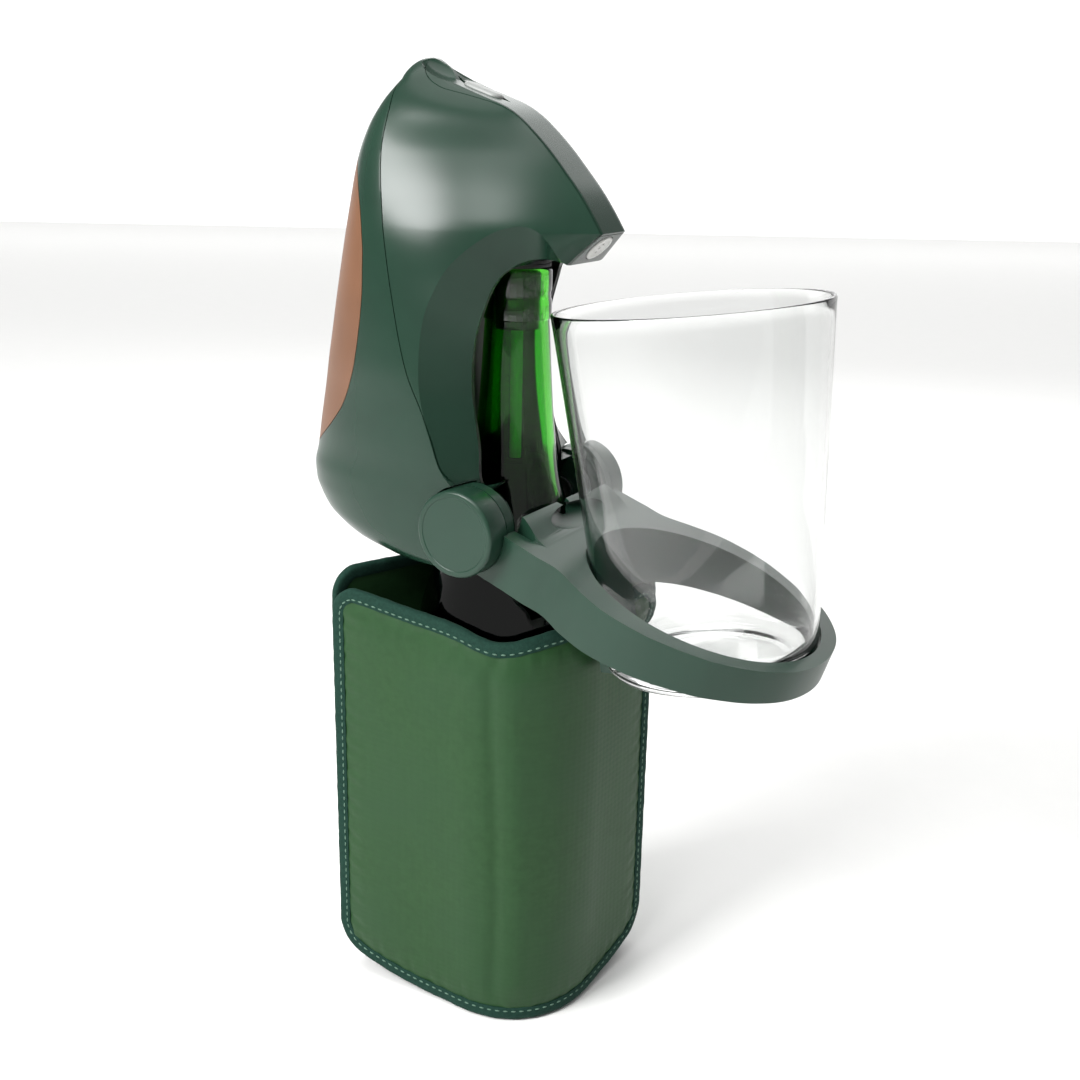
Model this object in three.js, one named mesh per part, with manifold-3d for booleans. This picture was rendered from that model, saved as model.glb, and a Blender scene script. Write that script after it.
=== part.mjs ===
// Electric cider pourer standing on its bottle, with the hinged glass holder, the glass and the padded sleeve.
// Millimetres. +Z is up, +X is the way the spout points, and the origin is the centre of the bottle's foot.
import * as THREE from "three";
import { mergeVertices } from "three/addons/utils/BufferGeometryUtils.js";
import Module from "manifold-3d";

const wasm = await Module();
wasm.setup();

// Shared gaps
const gap = 0.3;
const overrun = 12;

// The head's height. The bottle's neck, the glass and all that the head holds follow it by these shares.
const headHeight = 184;
const headOverlapShare = 0.597826086957;
const collarShare = 0.108695652174;
const shoulderShare = 0.706521739130;
const glassShare = 0.733695652174;
const linerFootShare = 0.130434782609;
const deckShare = 0.017934782609;
const doorCentreShare = 0.472826086957;
const trayBelowShare = 0.054347826087;
const cellShare = 0.240217391304;
const pumpAxisShare = 0.157608695652;
const pumpHalfShare = 0.054347826087;
const diaphragmShare = 0.048913043478;
const crankRoomShare = 0.044565217391;
const crankShare = 0.034782608696;
const mouthFarDropShare = 0.516304347826;
const mouthFarRiseShare = 0.054347826087;

// Bottle
const bottleHeight = 300;
const bottleRadius = 38.5;
const bottleWall = 3.15;
const bottleFootRound = 4;
const bottleFootThickness = 6;
const neckRadius = 12.4;
const collarRadius = 13.1;
const collarHeight = collarShare * headHeight;
const collarRound = 1.2;
const shoulderLength = shoulderShare * headHeight;
const collarBottom = bottleHeight - collarHeight;
const shoulderStart = collarBottom - shoulderLength;
const boreRadius = neckRadius - bottleWall;
// Height along the shoulder, then radius between neck and body
const shoulderShares = [
  [0, 1], [0.08, 0.975], [0.155, 0.895], [0.23, 0.755], [0.31, 0.6], [0.37, 0.465],
  [0.43, 0.34], [0.52, 0.215], [0.62, 0.138], [0.8, 0.06], [1, 0],
];

// Pump head outline
const headDepth = 130;
const headHalfWidth = 42.5;
const headOverlap = headOverlapShare * headHeight;
const shellWall = 2.5;
const backRoundness = 2.3;
const headFoot = bottleHeight - headOverlap;
// Height, then the outermost point of the back
const backShares = [
  [0, -0.446], [0.016, -0.554], [0.033, -0.608], [0.054, -0.654], [0.082, -0.685], [0.109, -0.704],
  [0.141, -0.708], [0.174, -0.695], [0.25, -0.669], [0.326, -0.642], [0.408, -0.612], [0.489, -0.583],
  [0.598, -0.545], [0.707, -0.508], [0.815, -0.478], [0.87, -0.448], [0.908, -0.412], [0.935, -0.381],
  [0.957, -0.354], [0.978, -0.335], [1, -0.319],
];
// Height, then the forward and sideways place of the line where the back meets the cheeks
const seamShares = [
  [0, -0.031, 0.941], [0.016, -0.031, 0.976], [0.054, -0.031, 1], [0.174, -0.031, 1], [0.245, -0.077, 1],
  [0.326, -0.113, 1], [0.386, -0.156, 1], [0.454, -0.188, 0.988], [0.527, -0.223, 0.965], [0.647, -0.254, 0.918],
  [0.728, -0.28, 0.847], [0.821, -0.314, 0.706], [0.908, -0.327, 0.518], [0.957, -0.312, 0.353],
  [0.978, -0.304, 0.235], [1, -0.304, 0.094],
];
// The same for the middle of the cheek, and for its front edge beside the ridge
const cheekShares = [
  [0, 0, 0.953], [0.136, 0, 0.998], [0.185, 0.015, 0.984], [0.326, 0, 0.948], [0.435, -0.038, 0.927],
  [0.522, -0.038, 0.882], [0.595, -0.015, 0.788], [0.614, -0.008, 0.76], [0.663, 0.015, 0.706],
  [0.679, 0.023, 0.671], [0.728, -0.008, 0.635], [0.821, -0.092, 0.529], [0.875, -0.138, 0.447],
  [0.908, -0.181, 0.412], [0.957, -0.254, 0.311], [0.984, -0.285, 0.2], [1, -0.296, 0.085],
];
const frontShares = [
  [0, 0.032, 0.941], [0.136, 0.032, 0.995], [0.185, 0.077, 0.918], [0.326, 0.092, 0.847], [0.435, 0.092, 0.824],
  [0.543, 0.138, 0.682], [0.598, 0.198, 0.376], [0.615, 0.222, 0.306], [0.678, 0.312, 0.212],
  [0.712, 0.271, 0.212], [0.75, 0.221, 0.212], [0.81, 0.136, 0.212], [0.875, 0.023, 0.212],
  [0.913, -0.062, 0.212], [0.946, -0.169, 0.212], [0.967, -0.235, 0.212], [0.984, -0.269, 0.165], [1, -0.288, 0.071],
];
const levelShares = [
  0, 0.016, 0.033, 0.054, 0.082, 0.141, 0.185, 0.25, 0.326, 0.408, 0.489, 0.56, 0.615, 0.647, 0.678, 0.712,
  0.75, 0.79, 0.83, 0.87, 0.908, 0.935, 0.957, 0.978, 1,
];
// The mouth of the head: outer edge of its flat rim, then inner edge, each forward, sideways and up
const mouthShares = [
  [0.002, 0.988, 0.174, 0.028, 0.706, 0.178], [-0.044, 0.988, 0.207, 0.019, 0.682, 0.212],
  [-0.074, 0.988, 0.261, 0.009, 0.647, 0.255], [-0.106, 0.976, 0.337, -0.015, 0.635, 0.326],
  [-0.116, 0.965, 0.391, -0.02, 0.635, 0.386], [-0.117, 0.941, 0.457, -0.019, 0.624, 0.429],
  [-0.109, 0.918, 0.522, -0.011, 0.612, 0.476], [-0.092, 0.894, 0.554, 0.005, 0.588, 0.516],
  [-0.071, 0.847, 0.595, 0.028, 0.565, 0.56], [-0.025, 0.776, 0.636, 0.047, 0.518, 0.587],
  [0.019, 0.706, 0.663, 0.061, 0.471, 0.598], [0.056, 0.635, 0.676, 0.074, 0.447, 0.606],
  [0.093, 0.565, 0.682, 0.088, 0.424, 0.614], [0.124, 0.494, 0.677, 0.116, 0.376, 0.622],
  [0.154, 0.424, 0.66, 0.144, 0.329, 0.625], [0.179, 0.365, 0.641, 0.168, 0.294, 0.624],
  [0.201, 0.334, 0.628, 0.192, 0.271, 0.62], [0.225, 0.318, 0.617, 0.222, 0.247, 0.615],
];
// The trough behind the mouth: height, middle, half width
const troughShares = [
  [-0.016, 0.031, 0.71], [0.087, 0.031, 0.69], [0.174, 0.028, 0.69], [0.185, 0.026, 0.701], [0.255, 0.009, 0.647],
  [0.326, -0.015, 0.635], [0.429, -0.019, 0.624], [0.476, -0.011, 0.612], [0.516, 0.005, 0.588],
  [0.56, 0.028, 0.565], [0.587, 0.047, 0.518], [0.606, 0.074, 0.447], [0.628, 0.088, 0.407],
];
const troughBehindBottle = 6;
// The line along which the front shell meets the rear shell, forward and up
const splitShares = [
  [-0.731, 0.935], [-0.4, 0.946], [-0.338, 0.954], [-0.327, 0.908], [-0.314, 0.821], [-0.28, 0.728],
  [-0.254, 0.647], [-0.223, 0.549], [-0.188, 0.454], [-0.156, 0.386], [-0.113, 0.326], [-0.082, 0.272],
  [-0.048, 0.212], [0, 0.176], [0.346, 0.176],
];
// The oval edge of the battery door as seen from the side, from its top down, forward and up
const doorShares = [
  [-0.53, 0.856], [-0.49, 0.848], [-0.46, 0.835], [-0.436, 0.815], [-0.412, 0.788], [-0.384, 0.749],
  [-0.355, 0.695], [-0.338, 0.638], [-0.335, 0.599], [-0.334, 0.55], [-0.337, 0.52], [-0.342, 0.489],
  [-0.35, 0.459], [-0.359, 0.427], [-0.373, 0.39], [-0.395, 0.355], [-0.422, 0.32], [-0.451, 0.292],
  [-0.492, 0.264], [-0.536, 0.238], [-0.609, 0.202], [-0.665, 0.18], [-0.715, 0.166], [-0.76, 0.16],
];

// Neck liner, the black frame that the pump and the tray are fixed to
const deckThicknessShare = 0.606060606061;
const linerWall = 1.6;
const linerFoot = linerFootShare * headHeight;
const deckAboveMouth = deckShare * headHeight;
const deckThickness = deckAboveMouth * deckThicknessShare;
const deckHalfWidth = 12;
const deckBack = 48;
const cradleThickness = 3;
const cradleHalfWidth = 8;

// Ridge strip and button
const stripHalfWidth = 8.7;
const stripShares = [
  [0.281, 0.703], [0.221, 0.75], [0.136, 0.81], [0.023, 0.875], [-0.062, 0.913], [-0.169, 0.946], [-0.235, 0.967],
];
const stripReach = 6;
const buttonLength = 17;
const buttonWidth = 6.6;
const buttonProud = 0.8;
const buttonTravel = 1.2;
const buttonFlange = 1;
const buttonFlangeDrop = 3.4;
const buttonFlangeThickness = 0.8;
const buttonBack = 16;

// Nozzle in the spout's end face
const nozzleRadius = 5.75;
const nozzleThickness = 2.4;
const nozzleProud = 0.4;
const nozzleStemRadius = 3.2;
const nozzleStemLength = 5;
const nozzleHoleRadius = 0.6;
const nozzleHolePitch = 2.2;

// Hinge
const hingeForward = 4.2;
const hingeAboveHeadFoot = 16.8;
const hingeRadius = 16.5;
const lugOuter = 31.2;
const lugInner = 28.6;
const lugRadius = 14.3;
const washerThickness = 0.6;
const washerRadius = 9;
const earThickness = 4.6;
const capWidth = 10.9;
const capBevel = 0.8;
const pinRadius = 4;
const pinHeadRadius = 6;
const pinHeadThickness = 1.3;
const pinReachIntoCap = 3.8;
const pocketClearance = 0.7;
const washerInner = lugOuter + gap;
const earInner = washerInner + washerThickness + gap;
const earOuter = earInner + earThickness;
const capInner = earOuter + gap;
const capOuter = capInner + capWidth;
const hingeHeight = headFoot + hingeAboveHeadFoot;

// Glass
const glassHeight = glassShare * headHeight;
const glassRimRadius = 50.1;
const glassBaseRadius = 39.3;
const glassWall = 1.8;
const glassBaseThickness = 6.5;
const glassBaseRound = 7;
const glassLean = 6.7;
const glassOut = 84.3;
const glassDrop = 48.3;

// Glass holder, in its own frame: out along the slope, sideways, and square to the slope
const holderTilt = 17.8;
const ringInFront = 9.9;
const ringBeside = 12.2;
const holderReach = glassOut + glassBaseRadius + ringInFront;
const holderHalfWidth = glassBaseRadius + ringBeside;
const holderTop = 5.7;
const holderDepth = 20;
const holderFrontDepth = 12.5;
const holderTaperStart = 50;
const plateRear = 20.5;
const plateRise = 4.5;
// The undercut starts this far over the holder's top and runs this far forward through the plate
const undercutStart = 0.3;
const undercutRun = 3.3;
const plateRiseEnd = 30;
const plateThickness = 3;
const skirtWall = 3.2;
const plateCornerHalfWidth = 28.3;
const plateShoulder = 24;
const armRear = 2;
const armHalfWidth = 39.5;
const holeClearance = 0.8;
const plateBottleGap = 1.2;
const tongueThickness = 2.6;
const tongueHalfWidth = 13;
const tongueTop = 33;
const footThickness = 2.8;
const footReach = 9;
const ledgeReach = 7.5;
const dimpleHalfWidth = 17;
const dimpleHalfLength = 7;
const dimpleDepth = 1.3;
const notchRadius = 3.4;
// Out and sideways, from the hinge arm round to the front
const holderSideShares = [
  [0.165, 0.786], [0.237, 0.802], [0.307, 0.806], [0.394, 0.903], [0.479, 0.981], [0.569, 1], [0.66, 0.975],
  [0.78, 0.87], [0.846, 0.761], [0.906, 0.625], [0.959, 0.437], [0.989, 0.233], [1, 0],
];

// Battery compartment
const doorCentre = doorCentreShare * headHeight;
const backLean = 44.174491671;
const backSlope = THREE.MathUtils.radToDeg(Math.atan(backLean / headHeight));
const cellRadius = 5.2;
const cellLength = cellShare * headHeight;
const cellNubRadius = 1.9;
const cellNubHeight = 0.9;
const cellPitch = 11.6;
const trayDepth = 13;
const trayFloor = 1.8;
const trayHalfWidth = 12.6;
const trayEnd = 1.5;
const trayBehindDoor = 6.4;
const trayBelowDoorCentre = trayBelowShare * headHeight;
const springHeight = 2.4;
const springWire = 0.35;
const springTurns = 3;
const springBigRadius = 4;
const springSmallRadius = 2.2;
const contactThickness = 0.4;
const earWidth = 8;
const trayEarHeight = 10;
const trayEarThickness = 2.4;
const postRadius = 3.2;
const trayScrewRadius = 1.1;
const trayScrewHeadRadius = 2.2;
const trayScrewHeadHeight = 1.4;
const trayScrewLength = 8;

// Pump
const pumpAxisAboveMouth = pumpAxisShare * headHeight;
const pumpHalfWidth = pumpHalfShare * headHeight;
const pumpFront = -2.4;
const pumpCoverThickness = 6.4;
const diaphragmThickness = 1;
const diaphragmRadius = diaphragmShare * headHeight;
const pumpBodyLength = 14;
const crankRoomRadius = crankRoomShare * headHeight;
const crankRoomLength = 11;
const crankRadius = crankShare * headHeight;
const crankThickness = 3.5;
const crankPinRadius = 1.4;
const crankPinLength = 3.4;
const shaftRadius = 1;
const shaftLength = 9;
const motorRadius = pumpHalfWidth;
const motorLength = 25;
const motorRound = 1;
const motorBossRadius = 3.2;
const motorBossLength = 1.6;
const motorBearingGap = 0.35;

// Stopper, tube and hoses
const sealThickness = (deckAboveMouth - 3 * gap) / 2;
const stopperFlangeThickness = sealThickness;
const stopperFlangeRadius = 12.6;
const stopperPlugLength = 23;
const stopperTaper = 0.6;
const stopperBossRadius = 8;
const stopperBossAboveDeck = 2;
const airBoreOffset = 5.6;
const airBoreRadius = 1.2;
const sealBottom = bottleHeight + gap;
const flangeLow = sealBottom + sealThickness + gap;
const flangeHigh = flangeLow + stopperFlangeThickness;
const tubeRadius = 2.3;
const tubeBore = 1.4;
const tubeFootGap = 8;
const hoseRadius = 2.8;
const hoseBore = 1.7;
const airHoseRadius = 2.2;

// Switch board
const switchSize = 6;
const switchHeight = 3.6;
const boardLength = 28;
const boardWidth = 15;
const boardThickness = 1.2;
const boardPegRadius = 1.8;
const boardPegInset = 2.1;

// Sleeve
const sleeveLeft = 70;
const sleeveRight = 55.5;
const sleeveTurn = 39;
const sleeveThickness = 3.4;
// The seam's thickness spreads the panels, so they bend round the bottle this much tighter
const sleeveGrip = 0.9;
const sleeveBelowHead = 14.8;
const sleeveRearBelowHead = 8.8;
const sleeveTop = headFoot - sleeveBelowHead;
const sleeveRearTop = headFoot - sleeveRearBelowHead;
const sleeveNearDip = 6;
const sleeveFoot = 0.6;
const sleeveCornerRise = 12;
const sleeveStandOff = 4;
const sleeveEdgeThickness = 1.6;
const bindingWidth = 5.5;
const bindingThickness = 3.4;

// Facets
const roundFine = 32;
const roundMedium = 24;
const roundSmall = 14;
const roundTiny = 8;

const degrees = THREE.MathUtils.degToRad;

// A closed three.js mesh as a solid that can be cut and joined
function solid(geometry) {
  const source = (geometry.index ? geometry.toNonIndexed() : geometry).clone();
  for (const name of Object.keys(source.attributes)) if (name !== "position") source.deleteAttribute(name);
  const merged = mergeVertices(source, 1e-4);
  const corners = merged.index.array;
  const points = merged.attributes.position;
  const kept = [];
  let volume = 0;
  const at = [new THREE.Vector3(), new THREE.Vector3(), new THREE.Vector3()];
  for (let i = 0; i < corners.length; i += 3) {
    const [a, b, c] = [corners[i], corners[i + 1], corners[i + 2]];
    if (a === b || b === c || c === a) continue;
    kept.push(a, b, c);
    [a, b, c].forEach((corner, k) => at[k].fromBufferAttribute(points, corner));
    volume += at[0].dot(at[1].clone().cross(at[2]));
  }
  if (volume < 0) for (let i = 0; i < kept.length; i += 3) [kept[i], kept[i + 1]] = [kept[i + 1], kept[i]];
  const vertProperties = new Float32Array(points.array);
  return new wasm.Manifold(new wasm.Mesh({ numProp: 3, vertProperties, triVerts: new Uint32Array(kept) }));
}

// The solid's surface as a three.js geometry
function surface(body) {
  const mesh = body.getMesh();
  const geometry = new THREE.BufferGeometry();
  const places = new Float32Array(mesh.numVert * 3);
  for (let i = 0; i < mesh.numVert; i++) {
    for (let k = 0; k < 3; k++) places[3 * i + k] = mesh.vertProperties[i * mesh.numProp + k];
  }
  geometry.setAttribute("position", new THREE.BufferAttribute(places, 3));
  geometry.setIndex(Array.from(mesh.triVerts));
  geometry.computeVertexNormals();
  return geometry;
}

const join = (first, ...rest) => rest.reduce((whole, next) => whole.add(next), first);
const cut = (first, ...rest) => rest.reduce((whole, next) => whole.subtract(next), first);

// A skin through rings of points, closed by a flat fan at each end
function loft(rings) {
  const count = rings[0].length;
  const positions = rings.flat().flatMap((p) => [p.x, p.y, p.z]);
  const triangles = [];
  for (let r = 0; r + 1 < rings.length; r++) {
    for (let i = 0; i < count; i++) {
      const j = (i + 1) % count;
      const [a, b, c, d] = [r * count + i, r * count + j, (r + 1) * count + i, (r + 1) * count + j];
      triangles.push(a, b, d, a, d, c);
    }
  }
  for (const [r, forward] of [[0, false], [rings.length - 1, true]]) {
    const middle = rings[r].reduce((sum, p) => sum.clone().add(p), new THREE.Vector3()).divideScalar(count);
    const hub = positions.length / 3;
    positions.push(middle.x, middle.y, middle.z);
    for (let i = 0; i < count; i++) {
      const [a, b] = [r * count + i, r * count + ((i + 1) % count)];
      triangles.push(...(forward ? [hub, a, b] : [hub, b, a]));
    }
  }
  const geometry = new THREE.BufferGeometry();
  geometry.setAttribute("position", new THREE.Float32BufferAttribute(positions, 3));
  geometry.setIndex(triangles);
  return geometry;
}

// A skin through rings that come back to the first one
function hoop(rings) {
  const count = rings[0].length;
  const positions = rings.flat().flatMap((p) => [p.x, p.y, p.z]);
  const triangles = [];
  rings.forEach((ring, r) => {
    const next = (r + 1) % rings.length;
    ring.forEach((point, i) => {
      const j = (i + 1) % count;
      const [a, b, c, d] = [r * count + i, r * count + j, next * count + i, next * count + j];
      triangles.push(a, b, d, a, d, c);
    });
  });
  const geometry = new THREE.BufferGeometry();
  geometry.setAttribute("position", new THREE.Float32BufferAttribute(positions, 3));
  geometry.setIndex(triangles);
  return geometry;
}

// A turned piece about +Z, from a profile of radius and height
function turned(profile, segments) {
  const points = profile.map(([radius, height]) => new THREE.Vector2(radius, height));
  return new THREE.LatheGeometry(points, segments).rotateX(Math.PI / 2);
}
const ringProfile = (inner, outer, low, high) => [
  [inner, low], [outer, low], [outer, high], [inner, high], [inner, low],
];
const rodProfile = (radius, low, high) => [[0, low], [radius, low], [radius, high], [0, high]];
const rod = (radius, low, high, segments) => turned(rodProfile(radius, low, high), segments);

// An outline pulled from one height to another along +Z
function prism(outline, low, high) {
  const shape = new THREE.Shape(outline.map(([x, y]) => new THREE.Vector2(x, y)));
  return new THREE.ExtrudeGeometry(shape, { depth: high - low, bevelEnabled: false }).translate(0, 0, low);
}
// An outline in forward and up, pulled sideways to both sides
function sidePrism(outline, halfWidth) {
  return prism(outline, -halfWidth, halfWidth).rotateX(Math.PI / 2);
}
function block(low, high) {
  const size = low.map((value, k) => high[k] - value);
  const middle = low.map((value, k) => (high[k] + value) / 2);
  return new THREE.BoxGeometry(...size).translate(...middle);
}
function pill(length, width, low, high) {
  const shape = new THREE.Shape();
  const straight = (length - width) / 2;
  shape.absarc(straight, 0, width / 2, -Math.PI / 2, Math.PI / 2);
  shape.absarc(-straight, 0, width / 2, Math.PI / 2, (3 * Math.PI) / 2);
  const settings = { depth: high - low, bevelEnabled: false, curveSegments: roundTiny };
  return new THREE.ExtrudeGeometry(shape, settings).translate(0, 0, low);
}
// A round hose with a bore along a curve
function hose(points, radius, bore, steps) {
  const shape = new THREE.Shape().absarc(0, 0, radius, 0, 2 * Math.PI);
  shape.holes.push(new THREE.Path().absarc(0, 0, bore, 0, 2 * Math.PI, true));
  const extrudePath = new THREE.CatmullRomCurve3(points);
  return new THREE.ExtrudeGeometry(shape, { steps, extrudePath, bevelEnabled: false, curveSegments: 5 });
}

// The value of a table at a height, straight between its rows
function follow(table, height) {
  const last = table.length - 1;
  if (height <= table[0][0]) return table[0].slice(1);
  if (height >= table[last][0]) return table[last].slice(1);
  const upper = table.findIndex((row) => row[0] > height);
  const [low, high] = [table[upper - 1], table[upper]];
  const share = (height - low[0]) / (high[0] - low[0]);
  return low.slice(1).map((value, k) => value + share * (high[k + 1] - value));
}

const finish = (color, roughness, metalness = 0) =>
  new THREE.MeshStandardMaterial({ color, roughness, metalness });
const greenPlastic = finish(0x2f4a3e, 0.42);
const blackPlastic = finish(0x101211, 0.5);
const brownPlastic = finish(0x8a5533, 0.6);
const greyPlastic = finish(0xb9bcba, 0.4);
const whitePlastic = finish(0xe9e9e6, 0.35);
const clearHose = finish(0xc9d2cc, 0.3);
const blackRubber = finish(0x171817, 0.8);
const steel = finish(0xa9adb0, 0.3, 1);
const boardGreen = finish(0x1f5a35, 0.6);
const cellJacket = finish(0x3b4247, 0.35);
const bottleGreen = finish(0x2b7a22, 0.05);
const clearGlass = finish(0xdfe8e4, 0.04);
const sleeveFabric = finish(0x3e6c48, 0.7);
const bindingFabric = finish(0x24483a, 0.85);

const pourer = new THREE.Group();
function piece(name, shape, material, parent = pourer) {
  const geometry = shape.isBufferGeometry ? shape : surface(shape);
  const mesh = new THREE.Mesh(geometry, material);
  mesh.name = name;
  parent.add(mesh);
  return mesh;
}

// Bottle
function bottleRadiusAt(height) {
  const [share] = follow(shoulderShares, (height - shoulderStart) / shoulderLength);
  return neckRadius + share * (bottleRadius - neckRadius);
}
const shoulderOutline = shoulderShares.map(([rise, swell]) => [
  neckRadius + swell * (bottleRadius - neckRadius), shoulderStart + rise * shoulderLength,
]);
const bottleProfile = [
  [0, 0], [bottleRadius - bottleFootRound, 0], [bottleRadius, bottleFootRound],
  ...shoulderOutline,
  [collarRadius, collarBottom + collarRound], [collarRadius, bottleHeight - collarRound],
  [collarRadius - collarRound, bottleHeight], [boreRadius, bottleHeight],
  ...shoulderOutline.map(([radius, height]) => [radius - bottleWall, height]).reverse(),
  [bottleRadius - bottleWall, bottleFootThickness + bottleFootRound],
  [bottleRadius - bottleWall - bottleFootRound, bottleFootThickness], [0, bottleFootThickness],
];
piece("bottle", turned(bottleProfile, roundFine), bottleGreen);

// The bottle's shoulder, thickened by a clearance
function shoulderSpace(grow) {
  const outline = shoulderOutline.map(([radius, height]) => [radius + grow, height]);
  return solid(turned([[0, shoulderStart], ...outline, [0, collarBottom]], roundFine));
}

// The head's outer form, in level rings
const alongHead = (share) => share * headDepth;
const acrossHead = (share) => share * headHalfWidth;
const upHead = (share) => headFoot + share * headHeight;
const backSteps = 8;
const cheekSteps = 6;

function headRing(level) {
  const [backX] = follow(backShares, level);
  const [seamX, seamY] = follow(seamShares, level);
  const [cheekX, cheekY] = follow(cheekShares, level);
  const [frontX, frontY] = follow(frontShares, level);
  const side = [];
  const power = 2 / backRoundness;
  for (let i = 0; i <= backSteps; i++) {
    const turn = (i / backSteps) * (Math.PI / 2);
    side.push([seamX - (seamX - backX) * Math.cos(turn) ** power, seamY * Math.sin(turn) ** power]);
  }
  side[backSteps] = [seamX, seamY];
  const pullX = 2 * cheekX - (seamX + frontX) / 2;
  const pullY = 2 * cheekY - (seamY + frontY) / 2;
  for (let i = 1; i <= cheekSteps; i++) {
    const t = i / cheekSteps;
    const [a, b, c] = [(1 - t) ** 2, 2 * t * (1 - t), t ** 2];
    side.push([a * seamX + b * pullX + c * frontX, a * seamY + b * pullY + c * frontY]);
  }
  const place = ([x, y]) => new THREE.Vector3(alongHead(x), acrossHead(y), upHead(level));
  const mirrored = side.slice(1).reverse().map(([x, y]) => [x, -y]);
  return [...side, ...mirrored].map(place);
}
const headRings = levelShares.map(headRing);

// Rings moved square to the skin, inwards for a positive distance
function inset(rings, distance) {
  const geometry = loft(rings);
  geometry.computeVertexNormals();
  const normals = geometry.attributes.normal;
  const positions = geometry.attributes.position;
  const outward = Math.sign(signedVolume(geometry));
  const count = rings[0].length;
  return rings.map((ring, r) =>
    ring.map((point, i) => {
      const index = r * count + i;
      const normal = new THREE.Vector3().fromBufferAttribute(normals, index);
      return new THREE.Vector3().fromBufferAttribute(positions, index).addScaledVector(normal, -outward * distance);
    }),
  );
}
function signedVolume(geometry) {
  const corners = geometry.index.array;
  const at = (i) => new THREE.Vector3().fromBufferAttribute(geometry.attributes.position, corners[i]);
  let volume = 0;
  for (let i = 0; i < corners.length; i += 3) volume += at(i).dot(at(i + 1).cross(at(i + 2)));
  return volume;
}

// The space in front of the mouth's rim. A positive setback moves the rim back into the head.
const mouthFar = 130;
const mouthFarHalfWidth = 70;
const mouthFarDrop = mouthFarDropShare * headHeight;
const mouthFarRise = mouthFarRiseShare * headHeight;
function mouthSpace(setback) {
  const rows = mouthShares.map(([ox, oy, oz, ix, iy, iz]) => ({
    outer: new THREE.Vector3(alongHead(ox), acrossHead(oy), upHead(oz)),
    inner: new THREE.Vector3(alongHead(ix), acrossHead(iy), upHead(iz)),
  }));
  const rings = rows.map(({ outer, inner }, i) => {
    const before = rows[Math.max(i - 1, 0)];
    const after = rows[Math.min(i + 1, rows.length - 1)];
    const along = after.outer.clone().add(after.inner).sub(before.outer).sub(before.inner);
    const across = outer.clone().sub(inner).normalize();
    const back = along.clone().cross(across).normalize().multiplyScalar(setback);
    const rim = inner.clone().add(back);
    const beyond = outer.clone().addScaledVector(across, overrun).add(back);
    const farHeight = bottleHeight - mouthFarDrop + mouthFarRise * (i / (rows.length - 1));
    const far = new THREE.Vector3(mouthFar, mouthFarHalfWidth, farHeight);
    const right = [beyond, rim];
    const left = [rim, beyond].map((p) => new THREE.Vector3(p.x, -p.y, p.z));
    return [...right, ...left, new THREE.Vector3(far.x, -far.y, far.z), far];
  });
  return solid(loft(rings));
}

// The trough that the bottle's neck and shoulder stand in, open to the front
const troughSteps = 10;
function troughRing(level, shrink, forward) {
  const [middleShare, halfShare] = follow(troughShares, level);
  const height = upHead(level);
  const middle = alongHead(middleShare);
  const half = acrossHead(halfShare) - shrink;
  const depth = middle + bottleRadiusAt(height) + troughBehindBottle - shrink;
  const ahead = middle + forward * (1 - level / troughShares.at(-1)[0]);
  const ring = [];
  for (let i = 0; i <= troughSteps; i++) {
    const turn = (i / troughSteps) * Math.PI;
    ring.push(new THREE.Vector3(middle - depth * Math.sin(turn), half * Math.cos(turn), height));
  }
  return [...ring, new THREE.Vector3(ahead, -half, height), new THREE.Vector3(ahead, half, height)];
}
function trough(shrink, low, high, forward) {
  const levels = troughShares.map(([level]) => level).filter((level) => level > low && level < high);
  return solid(loft([low, ...levels, high].map((level) => troughRing(level, shrink, forward))));
}

const deckBottom = bottleHeight + deckAboveMouth;
const deckTop = deckBottom + deckThickness;
const troughTop = (deckTop + gap - headFoot) / headHeight;
const troughBottom = troughShares[0][0];
const troughForward = 8;

// Cylinders about the hinge axis
function hingeRod(radius, inner, outer, side, segments = roundMedium) {
  const shape = turned(rodProfile(radius, inner, outer), segments).rotateX(-side * Math.PI / 2);
  return shape.translate(hingeForward, 0, hingeHeight);
}

const head = solid(loft(headRings));
const mouth = mouthSpace(0);
const bothSides = [-1, 1];
const lugs = bothSides.map((side) => solid(hingeRod(lugRadius, lugInner, lugOuter, side)));
const pocketRadius = hingeRadius + pocketClearance;
const pockets = bothSides.map((side) =>
  solid(hingeRod(pocketRadius, lugOuter, headHalfWidth + overrun, side)));
const hingeWalls = bothSides.map((side) =>
  solid(hingeRod(pocketRadius + shellWall, lugInner, headHalfWidth + overrun, side)));
const pinHoles = bothSides.map((side) =>
  solid(hingeRod(pinRadius + gap, lugInner - overrun, capOuter, side, roundSmall)));

const innerRings = inset(headRings, shellWall);
const cavity = cut(solid(loft(innerRings)), mouthSpace(shellWall), ...hingeWalls);
const throat = trough(0, troughBottom, troughTop, troughForward);
const stopperRoom = solid(rod(stopperFlangeRadius + gap, bottleHeight, flangeHigh + gap, roundMedium));
const casing = cut(join(head, ...lugs), mouth, throat, cavity, stopperRoom, ...pockets, ...pinHoles);

// The casing's parting line
const splitOutline = splitShares.map(([x, z]) => [alongHead(x), upHead(z)]);
const splitTop = headFoot + headHeight + overrun;
function frontSide(shift) {
  const outline = [...splitOutline, [splitOutline.at(-1)[0], splitTop], [splitOutline[0][0], splitTop]];
  return solid(sidePrism(outline, headHalfWidth + overrun).translate(shift, 0, shift));
}

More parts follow.
